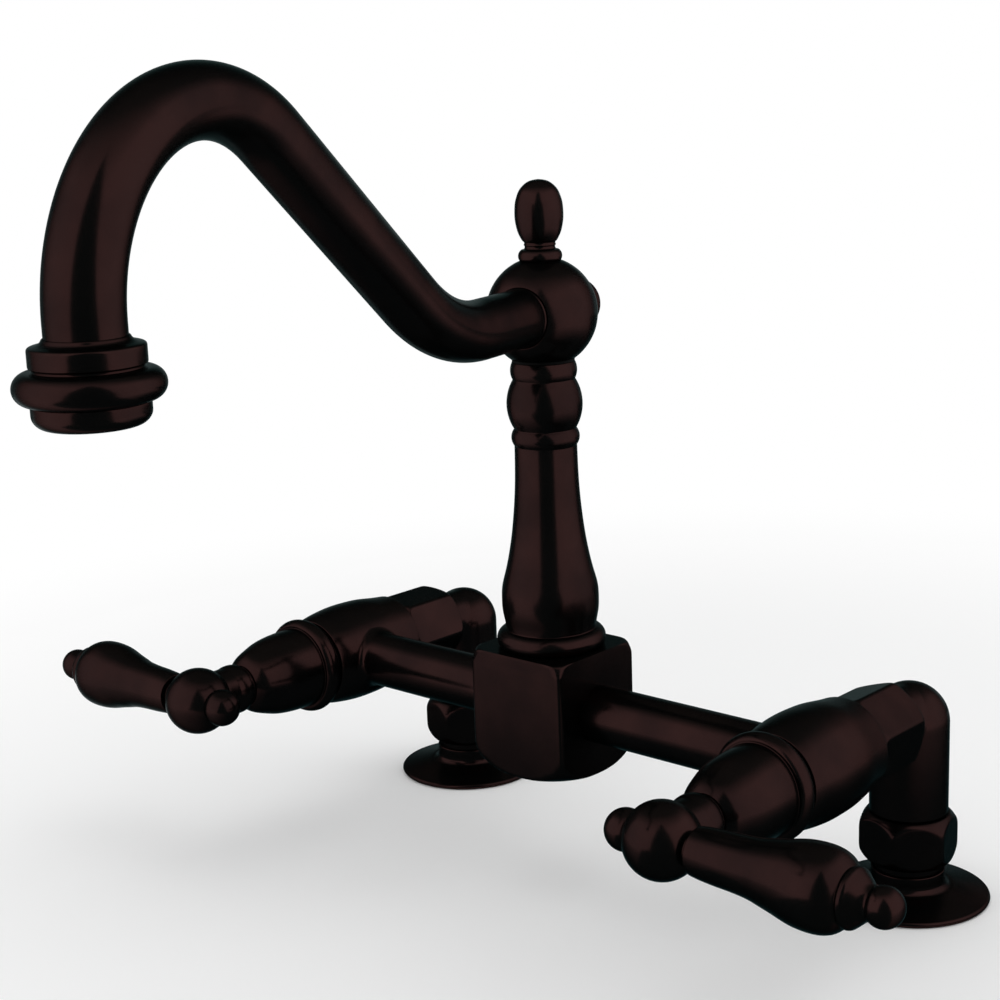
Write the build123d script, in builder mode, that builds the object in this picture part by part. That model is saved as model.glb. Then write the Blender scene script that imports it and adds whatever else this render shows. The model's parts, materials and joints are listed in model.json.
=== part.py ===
from build123d import *
from math import cos, radians, sin, sqrt
import os

# Two handle bridge faucet for a kitchen sink, in millimetres.
# X runs along the bridge, -Y points over the sink and Z points up. The origin
# is on the deck, midway between the two inlets.

# Layout
inlet_centres = 203.2  # 8 in between the inlets
bridge_height = 65.5  # bridge pipes and valve axes above the deck
bridge_forward = 63.3  # bridge line in front of the inlets
lever_forward = 72.8  # lever axes in front of the bridge line
spout_turn = 14.0  # degrees that the spout stands to the right at rest

# Fits: radial play unless said otherwise
running_fit = 0.05
slip_fit = 0.1
turning_gap = 0.4  # end gap between a turning piece and a fixed one
end_gap = 0.5  # depth that a blind hole has to spare

# Centre block
block_width = 39.6
block_rise = 21.0  # above the bridge line
block_drop = 22.0  # below it
block_round_r = 28.2
block_top_r = 25.7
block_corner_height = 5.0
block_foot_r = 15.0
block_dome_height = 12.4
block_bore_r = 7.0
pipe_socket_depth = 8.0

# Bridge pipes
pipe_r = 9.8
pipe_wall = 2.0
saddle_depth = 14.0  # from a barrel's axis to the pipe's end

# Column
tail_r = 8.9
tail_length = 12.0
tail_bore_r = 6.5
foot_r = 18.5
foot_base_r = 17.2
foot_height = 6.4
belly_r = 16.45
belly_foot_r = 15.2
belly_rise = 10.1
waist_r = 13.3
waist_rise = 26.9
neck_r = 10.45
body_height = 62.9
lower_bead_r = 11.4
lower_bead_height = 5.6
bulb_r = 12.65
bulb_height = 16.5
upper_bead_r = 11.1
upper_bead_height = 6.0
spigot_r = 7.95
spigot_bore_r = 5.0
spigot_lip = 3.0  # above the guide groove
guide_groove_r = 6.8
guide_groove_height = 3.6
column_seal_width = 2.2
column_seal_height = 1.5
seal_section_r = 0.9
first_seal_rise = 3.2
seal_pitch = 4.0
glide_height = 0.8

# Spout ball, finial and plug
ball_r = 18.4
ball_foot_r = 10.6
chamber_r = 11.0
chamber_drop = 4.5
chamber_rise = 10.0
tube_seat = 1.0  # wall between the chamber and the tube's end
socket_chamfer = 0.5
finial_base_r = 6.9
finial_bead_r = 7.2
finial_bead_height = 3.7
finial_neck_r = 5.0
finial_neck_height = 1.9
finial_egg_r = 7.95
finial_egg_rise = 10.0  # from the neck to the widest part
finial_egg_top = 10.6
finial_shank_r = 3.9
finial_shank_length = 6.5
plug_shank_r = 4.5
plug_head_r = 7.6
plug_reach = 30.4
plug_edge = 3.0
plug_tip_r = 1.6
plug_tip_end = 7.2

# Spout tube
tube_r = 9.5
tube_wall = 1.5
spout_reach = 224.6
heel_start = 42.4
heel_radius = 68.8
rise_angle = 37.3
arch_radius = 47.1
outlet_drop = 11.7  # straight tube below the arch

# Outlet
collar_r = 13.4
collar_height = 4.6
collar_rounding = 1.0
collar_flare_r = 10.6
collar_flare_edge = 0.4
collar_flare_height = 2.2
outlet_groove_r = 12.6
outlet_groove_height = 0.8
ring_r = 17.4
ring_foot_r = 14.6
ring_neck_r = 13.6
ring_height = 7.4
ferrule_bore_r = 11.6
housing_r = 13.6
housing_height = 5.6
mouth_r = 10.2
mouth_bore_r = 8.8
mouth_belly = 0.9
mouth_lip = 1.8
aerator_bore_r = 9.8
aerator_neck_length = 5.2
aerator_washer_height = 1.0
insert_height = 6.0
insert_hole_r = 0.9
insert_ring_pitch = 3.2
screen_height = 0.4
screen_pitch = 2.0
screen_hole = 1.0
screen_rows = 7

# Valve barrel, as distances along its axis from the bridge line
barrel_front = 18.0
barrel_front_r = 15.4
barrel_shoulder_r = 17.0
barrel_r = 18.1
barrel_waist_r = 17.3
barrel_back = 23.0
barrel_back_r = 15.9
barrel_bore_r = 12.5
barrel_spigot_r = 14.3
barrel_spigot_length = 8.0
valve_floor = 8.0
valve_floor_height = 4.0
valve_port_r = 4.5
barrel_tail_length = 15.0

# Valve bonnet
bonnet_length = 34.6
bonnet_nose_r = 7.6
bonnet_nose_height = 2.2
bonnet_shoulder_r = 12.1
bonnet_shoulder_height = 7.4
bonnet_dome_r = 14.7
bonnet_dome_height = 15.2
bonnet_dome_rise = 0.5  # from there to the ring
bonnet_ring_r = 17.3
bonnet_ring_height = 6.4
bonnet_ring_depth = 1.4
bonnet_lip = 1.4
bonnet_boss_r = 7.0
bonnet_cavity_r = 11.4
bonnet_cavity_height = 5.0  # in front of the barrel's spigot
bonnet_taper = 5.0
bonnet_throat_r = 8.4
bonnet_wall = 6.6  # nose in front of the throat
bonnet_nose_bore_r = 4.7

# Quarter turn cartridge
cartridge_r = 9.9
cartridge_thread_r = 12.3
cartridge_thread_front = 17.0
cartridge_thread_height = 5.0
cartridge_hex_r = 10.8
cartridge_hex_height = 5.5
cartridge_neck_r = 8.0
cartridge_neck_end = 44.0
disc_r = 8.2
disc_height = 3.0
disc_gap = 0.05
cartridge_seal_height = 2.0
disc_port_r = 2.2
disc_port_offset = 4.6
disc_notch_width = 7.0
disc_notch_depth = 4.6
window_width = 9.0
stem_r = 3.9
stem_flange_r = 7.8
stem_flange_height = 3.0
stem_flange_gap = 0.2  # in front of the flange
stem_square = 5.6
stem_square_length = 15.0
stem_seal_section_r = 0.6
stem_seal_front = 24.0
stem_seal_pitch = 4.0

# Handle
hub_r = 11.6
skirt_r = 8.8
skirt_waist_r = 8.3
skirt_length = 18.5  # from the lever axis back to the skirt's end
lever_seat_r = 6.0
lever_neck_end = 12.2
lever_start_r = 7.1
lever_shaft_r = 7.8
lever_shaft_at = 22.0
lever_swell_r = 9.9
lever_swell_at = 38.3
lever_bulge_r = 12.1
lever_bulge_at = 51.2
lever_end_r = 9.2
lever_end_at = 59.8
lever_ring_r = 8.5
lever_ring_at = 62.2
lever_ring_height = 2.6
lever_ring_depth = 0.6
knob_r = 5.7
knob_at = 71.2
knob_neck_r = 4.7
lever_shank_r = 3.4
lever_shank_end = 5.0
small_ball_r = 6.4
small_ball_at = 12.8
small_ball_shank_r = 2.4
small_ball_shank_end = 2.95

# Unions, elbows and legs
waterway_r = 8.0  # through tails, elbows and bushings
union_thread_r = 11.7  # male threads and the collars that the nuts pull on
union_start = 0.4  # gap between a barrel's end and its union nut
nut_length = 25.5
nut_corner_r = 15.3
nut_end_r = 13.0
nut_lip = 4.8
nut_rounding = 3.4
nut_turns = {"left": 24.5, "right": 48.0}  # degrees round the valve axes
washer_height = 1.5
collar_thickness = 4.0
foot_collar_thickness = 3.6
elbow_tail_r = 9.8
leg_r = 13.1
crown_rise = 0.2  # the leg's domed end over the tail's top
leg_foot_r = 10.4
foot_gap = 0.4  # between a coupling nut and the leg above it
coupling_length = 17.0
coupling_corner_r = 16.9
coupling_end_r = 13.6
coupling_lip = 4.0
coupling_rounding = 7.4
coupling_turn = 12.0

# Inlets and flanges
inlet_thread_r = 9.5
inlet_thread_length = 12.5
inlet_rise = 0.5  # bushing's end above the deck
bushing_r = 11.3
bushing_thread_height = 8.5
flange_r = 27.3
flange_rim = 2.0
flange_edge_r = 26.2
flange_slope_r = 15.2
flange_slope_height = 4.6
flange_hub_r = 12.4
flange_hub_height = 10.8
flange_fillet_height = 6.6
flange_fillet_belly = 0.7
flange_hollow_r = 24.0
flange_hollow_height = 1.4

# Places worked out from the sizes above
half_centres = inlet_centres / 2
bridge_y = -bridge_forward
block_top = bridge_height + block_rise
block_bottom = bridge_height - block_drop
foot_top = block_top + foot_height
body_top = foot_top + body_height
lower_bead_top = body_top + lower_bead_height
bulb_top = lower_bead_top + bulb_height
shoulder = bulb_top + upper_bead_height
ball_foot = shoulder + glide_height + running_fit
spout_height = ball_foot + sqrt(ball_r**2 - ball_foot_r**2)
socket_r = spigot_r + running_fit
chamber_floor = spout_height - chamber_drop
chamber_top = spout_height + chamber_rise
spigot_top = spout_height + guide_groove_height / 2 + spigot_lip
tube_start = chamber_r + tube_seat
rise_sine = sin(radians(rise_angle))
rise_cosine = cos(radians(rise_angle))
rise_start = heel_start + heel_radius * rise_sine
rise_end = spout_reach - arch_radius * (1 + rise_sine)
rise_length = (rise_end - rise_start) / rise_cosine
arch_foot = (
    spout_height
    + heel_radius * (1 - rise_cosine)
    + rise_length * rise_sine
    - arch_radius * rise_cosine
)
tube_end = arch_foot - outlet_drop

column_axis = Axis((0, bridge_y, 0), (0, 0, 1))
column_plane = Plane((0, bridge_y, 0), x_dir=(1, 0, 0), z_dir=(0, -1, 0))
spout_direction = Vector(sin(radians(spout_turn)), -cos(radians(spout_turn)), 0)
spout_side = Vector(0, 0, 1).cross(spout_direction)
spout_plane = Plane(column_axis.position, x_dir=spout_direction, z_dir=-spout_side)
outlet_centre = column_axis.position + spout_direction * spout_reach
outlet_axis = Axis(outlet_centre, (0, 0, 1))
outlet_plane = Plane(outlet_centre, x_dir=spout_direction, z_dir=-spout_side)
sides = {"left": -1, "right": 1}

os.makedirs("parts", exist_ok=True)


def save(piece, name):
    """Name a finished piece and write it."""
    piece.part.label = name
    export_step(piece.part, f"parts/{name}.step")


def trace(start, *runs):
    """Closed outline: a run of one point is straight, of two an arc, of more a smooth curve."""
    here = start
    for run in runs:
        if len(run) == 1:
            Line(here, run[0])
        elif len(run) == 2:
            ThreePointArc(here, *run)
        else:
            Spline(here, *run)
        here = run[-1]
    Line(here, start)


def turned(plane, axis, start, *runs, mode=Mode.ADD):
    """Turn a closed outline, drawn on the plane, round the axis."""
    with BuildSketch(plane) as section:
        with BuildLine():
            trace(start, *runs)
        make_face()
    revolve(section.sketch, axis=axis, mode=mode)


def bore(plane, radius, depth):
    """Drill a round hole from the plane along its normal."""
    with BuildSketch(plane) as section:
        Circle(radius)
    extrude(section.sketch, amount=depth, mode=Mode.SUBTRACT)


def ring(plane, outer_r, inner_r, height):
    """Flat ring standing on the plane."""
    with BuildSketch(plane) as section:
        Circle(outer_r)
        Circle(inner_r, mode=Mode.SUBTRACT)
    extrude(section.sketch, amount=height)


def o_ring(plane, outer_r, section_r):
    """Round sealing ring round the plane's normal."""
    with BuildSketch(Plane(plane.origin, x_dir=plane.x_dir, z_dir=plane.y_dir)) as section:
        with Locations((outer_r - section_r, 0)):
            Circle(section_r)
    revolve(section.sketch, axis=Axis(plane.origin, plane.z_dir))


# Centre block: a square block under a turned form, which domes its foot and
# takes the points off its top corners.
block_half = block_width / 2
column_seal_r = tail_r + slip_fit + column_seal_width

with BuildPart() as centre_block:
    with BuildSketch(Plane((0, bridge_y, block_bottom))):
        Rectangle(block_width, block_width)
    extrude(amount=block_top - block_bottom)
    with BuildSketch(column_plane):
        with BuildLine():
            Line((0, block_bottom), (0, block_top))
            Line((0, block_top), (block_top_r, block_top))
            corner = Line((block_top_r, block_top), (block_round_r, block_top - block_corner_height))
            side = Line(corner @ 1, (block_round_r, block_bottom + block_dome_height))
            dome = TangentArc((side @ 1), (block_foot_r, block_bottom), tangent=(0, -1))
            Line(dome @ 1, (0, block_bottom))
        make_face()
    revolve(axis=column_axis, mode=Mode.INTERSECT)
    for side_sign in sides.values():
        inward = (-side_sign, 0, 0)
        face_plane = Plane((side_sign * block_half, bridge_y, bridge_height), z_dir=inward)
        bore(face_plane, pipe_r + slip_fit, pipe_socket_depth)
        bore(face_plane, block_bore_r, block_half)
    top_plane = Plane((0, bridge_y, block_top), z_dir=(0, 0, -1))
    bore(top_plane, column_seal_r, column_seal_height)
    bore(top_plane, tail_r + slip_fit, tail_length + end_gap)
    bore(top_plane, tail_bore_r, block_rise)
save(centre_block, "centre_block")

with BuildPart() as column_seal:
    seal_plane = Plane((0, bridge_y, block_top - column_seal_height))
    ring(seal_plane, column_seal_r, tail_r + slip_fit, column_seal_height)
save(column_seal, "column_seal")

# Bridge pipes, brazed into the block and into the sides of the barrels
pipe_start = block_half - pipe_socket_depth
pipe_end = half_centres - saddle_depth

for name, side_sign in sides.items():
    with BuildPart() as bridge_pipe:
        start_plane = Plane((side_sign * pipe_start, bridge_y, bridge_height), z_dir=(side_sign, 0, 0))
        ring(start_plane, pipe_r, pipe_r - pipe_wall, pipe_end - pipe_start)
    save(bridge_pipe, f"bridge_pipe_{name}")

# Column: foot ring, belly that narrows to the neck, bead, bulb and bead, with
# a threaded tail below and the spout's spigot above.
belly_height = foot_top + belly_rise
waist_height = foot_top + waist_rise
bead_groove_r = neck_r - running_fit
groove_bottom = spout_height - guide_groove_height / 2
seal_heights = [ball_foot + first_seal_rise, ball_foot + first_seal_rise + seal_pitch]

with BuildPart() as column:
    with BuildSketch(column_plane):
        with BuildLine():
            Line((tail_bore_r, block_top - tail_length), (tail_r, block_top - tail_length))
            Line((tail_r, block_top - tail_length), (tail_r, block_top))
            Line((tail_r, block_top), (foot_base_r, block_top))
            ThreePointArc(
                (foot_base_r, block_top),
                (foot_r, block_top + foot_height / 2),
                (belly_foot_r, foot_top),
            )
            ThreePointArc(
                (belly_foot_r, foot_top),
                ((belly_foot_r + 2 * belly_r) / 3, foot_top + belly_rise / 2),
                (belly_r, belly_height),
            )
            Spline(
                (belly_r, belly_height),
                (waist_r, waist_height),
                (neck_r, body_top),
                tangents=((0, 1), (0, 1)),
            )
            ThreePointArc(
                (neck_r, body_top),
                (lower_bead_r, body_top + lower_bead_height / 2),
                (bead_groove_r, lower_bead_top),
            )
            ThreePointArc(
                (bead_groove_r, lower_bead_top),
                (bulb_r, lower_bead_top + bulb_height / 2),
                (bead_groove_r, bulb_top),
            )
            ThreePointArc(
                (bead_groove_r, bulb_top),
                (upper_bead_r, bulb_top + upper_bead_height / 2),
                (bead_groove_r, shoulder),
            )
            Line((bead_groove_r, shoulder), (spigot_r, shoulder))
            Line((spigot_r, shoulder), (spigot_r, spigot_top))
            Line((spigot_r, spigot_top), (spigot_bore_r, spigot_top))
            Line((spigot_bore_r, spigot_top), (spigot_bore_r, bulb_top))
            Line((spigot_bore_r, bulb_top), (tail_bore_r, lower_bead_top))
            Line((tail_bore_r, lower_bead_top), (tail_bore_r, block_top - tail_length))
        make_face()
    revolve(axis=column_axis)
    for seal_height in seal_heights:
        with BuildSketch(Plane((0, bridge_y, seal_height - seal_section_r))):
            Circle(spigot_r)
            Circle(spigot_r - 2 * seal_section_r, mode=Mode.SUBTRACT)
        extrude(amount=2 * seal_section_r, mode=Mode.SUBTRACT)
    with BuildSketch(Plane((0, bridge_y, groove_bottom))):
        Circle(spigot_r)
        Circle(guide_groove_r, mode=Mode.SUBTRACT)
    extrude(amount=guide_groove_height, mode=Mode.SUBTRACT)
save(column, "column")

with BuildPart() as spout_seals:
    for seal_height in seal_heights:
        o_ring(Plane((0, bridge_y, seal_height)), spigot_r, seal_section_r)
save(spout_seals, "spout_seals")

with BuildPart() as glide_washer:
    ring(Plane((0, bridge_y, shoulder)), bead_groove_r, spigot_r + slip_fit, glide_height)
save(glide_washer, "glide_washer")

# Ball: turns on the column's spigot. The water leaves the spigot's open end,
# fills the chamber round it and goes into the tube.
finial_seat = spout_height + sqrt(ball_r**2 - finial_base_r**2)
plug_seat = sqrt(ball_r**2 - plug_head_r**2)
ball_centre = column_axis.position + Vector(0, 0, spout_height)
forward_plane = Plane(ball_centre, x_dir=spout_side, z_dir=spout_direction)
rear_plane = Plane(ball_centre, x_dir=spout_side, z_dir=-spout_direction)

with BuildPart() as spout_ball:
    turned(
        column_plane,
        column_axis,
        (socket_r, ball_foot),
        [(ball_foot_r, ball_foot)],
        [(ball_r, spout_height), (finial_base_r, finial_seat)],
        [(finial_shank_r + slip_fit, finial_seat)],
        [(finial_shank_r + slip_fit, chamber_top)],
        [(chamber_r, chamber_top)],
        [(chamber_r, chamber_floor)],
        [(socket_r, chamber_floor)],
    )
    bore(forward_plane.offset(tube_start), tube_r + slip_fit, ball_r)
    bore(forward_plane, tube_r - tube_wall, ball_r)
    bore(rear_plane, plug_shank_r + slip_fit, ball_r)
    with BuildSketch(rear_plane.offset(plug_seat)):
        Circle(ball_r)
    extrude(amount=ball_r, mode=Mode.SUBTRACT)
    tube_mouth = spout_ball.edges().sort_by(Axis(ball_centre, spout_direction))[-1]
    chamfer(tube_mouth, socket_chamfer)
save(spout_ball, "spout_ball")

# Finial: bead, neck and egg, screwed into the top of the ball
finial_foot = finial_seat - finial_shank_length
neck_base = finial_seat + finial_bead_height
egg_base = neck_base + finial_neck_height
egg_middle = egg_base + finial_egg_rise
finial_tip = egg_middle + finial_egg_top

with BuildPart() as finial:
    with BuildSketch(column_plane):
        with BuildLine():
            Line((0, finial_foot), (finial_shank_r, finial_foot))
            Line((finial_shank_r, finial_foot), (finial_shank_r, finial_seat))
            Line((finial_shank_r, finial_seat), (finial_base_r, finial_seat))
            ThreePointArc(
                (finial_base_r, finial_seat),
                (finial_bead_r, finial_seat + finial_bead_height / 2),
                (finial_neck_r + finial_neck_height / 2, neck_base),
            )
            ThreePointArc(
                (finial_neck_r + finial_neck_height / 2, neck_base),
                (finial_neck_r, neck_base + finial_neck_height / 2),
                (finial_neck_r + finial_neck_height / 4, egg_base),
            )
            Spline(
                (finial_neck_r + finial_neck_height / 4, egg_base),
                (finial_egg_r, egg_middle),
                (0, finial_tip),
                tangents=((1, 2), (-1, 0)),
            )
            Line((0, finial_tip), (0, finial_foot))
        make_face()
    revolve(axis=column_axis)
save(finial, "finial")

# Plug screw behind the ball: its tip runs in the spigot's guide groove and
# keeps the ball on the column.
with BuildPart() as ball_plug:
    with BuildSketch(rear_plane.offset(plug_seat)):
        Circle(plug_head_r)
    extrude(amount=plug_reach - plug_seat)
    fillet(ball_plug.faces().sort_by(Axis(ball_centre, -spout_direction))[-1].edges(), plug_edge)
    with BuildSketch(rear_plane.offset(tube_start)):
        Circle(plug_shank_r)
    extrude(amount=plug_seat - tube_start)
    with BuildSketch(rear_plane.offset(plug_tip_end)):
        Circle(plug_tip_r)
    extrude(amount=tube_start - plug_tip_end)
save(ball_plug, "ball_plug")

# Spout tube: straight out of the ball, up through the heel and over the arch
with BuildPart() as spout_tube:
    with BuildLine(spout_plane) as tube_line:
        run = Line((tube_start, spout_height), (heel_start, spout_height))
        heel = JernArc(run @ 1, (1, 0), heel_radius, rise_angle)
        rise = Line(heel @ 1, (rise_end, spout_height + (heel @ 1 - heel @ 0).Z + rise_length * rise_sine))
        arch = JernArc(rise @ 1, (rise_cosine, rise_sine), arch_radius, -90 - rise_angle)
        drop = Line(arch @ 1, (spout_reach, tube_end))
    with BuildSketch(forward_plane.offset(tube_start)):
        Circle(tube_r)
        Circle(tube_r - tube_wall, mode=Mode.SUBTRACT)
    sweep(path=tube_line.wires()[0])
save(spout_tube, "spout_tube")

# Outlet: ferrule brazed on the tube's end, with a collar and a large ring, and
# the aerator housing screwed into it from below.
washer_top = tube_end
ferrule_bottom = tube_end - aerator_washer_height - aerator_neck_length
ring_top = ferrule_bottom + ring_height
collar_bottom = ring_top + outlet_groove_height
collar_top = collar_bottom + collar_height
flare_top = collar_top + collar_flare_height
mouth_height = ferrule_bottom - housing_height
tube_hole_r = tube_r + slip_fit
collar_softness = collar_rounding * (1 - sin(radians(45)))

with BuildPart() as outlet_ferrule:
    turned(
        outlet_plane,
        outlet_axis,
        (ferrule_bore_r, ferrule_bottom),
        [(ring_foot_r, ferrule_bottom)],
        [(ring_r, ferrule_bottom + ring_height / 2), (ring_neck_r, ring_top)],
        [(outlet_groove_r, ring_top)],
        [(outlet_groove_r, collar_bottom)],
        [(collar_r, collar_bottom)],
        [(collar_r, collar_top - collar_rounding)],
        [
            (collar_r - collar_softness, collar_top - collar_softness),
            (collar_r - collar_rounding, collar_top),
        ],
        [(collar_flare_r, collar_top)],
        [(tube_hole_r + collar_flare_edge, flare_top)],
        [(tube_hole_r, flare_top)],
        [(tube_hole_r, washer_top)],
        [(ferrule_bore_r, washer_top)],
    )
save(outlet_ferrule, "outlet_ferrule")

with BuildPart() as aerator_washer:
    washer_plane = Plane(outlet_centre + Vector(0, 0, washer_top - aerator_washer_height))
    ring(washer_plane, ferrule_bore_r - slip_fit, tube_r - tube_wall, aerator_washer_height)
save(aerator_washer, "aerator_washer")

neck_top = washer_top - aerator_washer_height
lip_top = mouth_height + mouth_lip

with BuildPart() as aerator_housing:
    turned(
        outlet_plane,
        outlet_axis,
        (mouth_bore_r, mouth_height),
        [(mouth_r, mouth_height)],
        [
            (housing_r - mouth_belly, mouth_height + housing_height / 4),
            (housing_r, mouth_height + housing_height / 2),
        ],
        [(housing_r, ferrule_bottom)],
        [(ferrule_bore_r - slip_fit, ferrule_bottom)],
        [(ferrule_bore_r - slip_fit, neck_top)],
        [(aerator_bore_r, neck_top)],
        [(aerator_bore_r, lip_top)],
        [(mouth_bore_r, lip_top)],
    )
save(aerator_housing, "aerator_housing")

with BuildPart() as aerator_insert:
    with BuildSketch(Plane(outlet_centre + Vector(0, 0, lip_top))):
        Circle(aerator_bore_r - slip_fit)
        Circle(insert_hole_r, mode=Mode.SUBTRACT)
        for ring_number in (1, 2):
            with PolarLocations(ring_number * insert_ring_pitch, 6 * ring_number):
                Circle(insert_hole_r, mode=Mode.SUBTRACT)
    extrude(amount=insert_height)
save(aerator_insert, "aerator_insert")

screen_bottom = lip_top + insert_height

with BuildPart() as aerator_screen:
    with BuildSketch(Plane(outlet_centre + Vector(0, 0, screen_bottom))):
        Circle(aerator_bore_r - slip_fit)
        with GridLocations(screen_pitch, screen_pitch, screen_rows, screen_rows):
            Rectangle(screen_hole, screen_hole, mode=Mode.SUBTRACT)
    extrude(amount=screen_height)
save(aerator_screen, "aerator_screen")

# Valves. On each valve's plane the first number is the distance back from the
# bridge line and the second the radius.
bonnet_front = -barrel_front - bonnet_length
bonnet_throat = bonnet_front + bonnet_wall
ring_back = -barrel_front - bonnet_lip
ring_front = ring_back - bonnet_ring_height
spigot_front = -barrel_front - barrel_spigot_length
bonnet_bore_r = barrel_spigot_r + slip_fit
cavity_front = spigot_front - bonnet_cavity_height
tail_end = barrel_back + barrel_tail_length
seal_front = valve_floor - cartridge_seal_height
fixed_disc_front = seal_front - disc_height
turning_disc_front = fixed_disc_front - disc_gap - disc_height
flange_front = turning_disc_front - stem_flange_height
disc_bore_r = disc_r + slip_fit
stem_hole_r = stem_r + running_fit
thread_back = -cartridge_thread_front + cartridge_thread_height
hex_front = -cartridge_thread_front - cartridge_hex_height
stem_end = -lever_forward + stem_square / 2
square_start = stem_end + stem_square_length
stem_seal_places = [-stem_seal_front, -stem_seal_front - stem_seal_pitch]
skirt_end = -lever_forward + skirt_length
boss_front = skirt_end + turning_gap
nut_front = barrel_back + union_start
elbow_collar_front = tail_end + washer_height
crown_height = bridge_height + elbow_tail_r + crown_rise - leg_r
crown_side = leg_r * sin(radians(45))  # halfway up the leg's domed top
nut_bore_r = union_thread_r + slip_fit
coupling_thread_top = inlet_rise + inlet_thread_length + bushing_thread_height
leg_bottom = coupling_thread_top + washer_height
leg_collar_top = leg_bottom + foot_collar_thickness
coupling_top = leg_collar_top + coupling_lip
coupling_bottom = coupling_top - coupling_length
leg_foot_height = coupling_top + foot_gap
lever_seat = sqrt(hub_r**2 - lever_seat_r**2)
small_ball_seat = (small_ball_at**2 + hub_r**2 - small_ball_r**2) / (2 * small_ball_at)
small_ball_seat_r = sqrt(hub_r**2 - small_ball_seat**2)
knob_neck = knob_at - sqrt(knob_r**2 - knob_neck_r**2)


def hex_nut(plane, axis, length, corner_r, end_r, rounding, lip, lip_r, turn):
    """Hexagonal nut whose corners round off at both ends, with a lip at its far end."""
    with BuildSketch(plane) as section:
        RegularPolygon(corner_r, 6, rotation=turn)
    extrude(section.sketch, amount=length)
    rounded = Plane(plane.origin, x_dir=plane.z_dir, z_dir=plane.x_dir)
    belly_r = (2 * corner_r + end_r) / 3
    turned(
        rounded,
        axis,
        (0, 0),
        [(0, end_r)],
        [(rounding / 3, belly_r), (rounding, corner_r)],
        [(length - rounding, corner_r)],
        [(length - rounding / 3, belly_r), (length, end_r)],
        [(length, 0)],
        mode=Mode.INTERSECT,
    )
    bore(plane, nut_bore_r, length - lip)
    bore(plane, lip_r, length)


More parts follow.
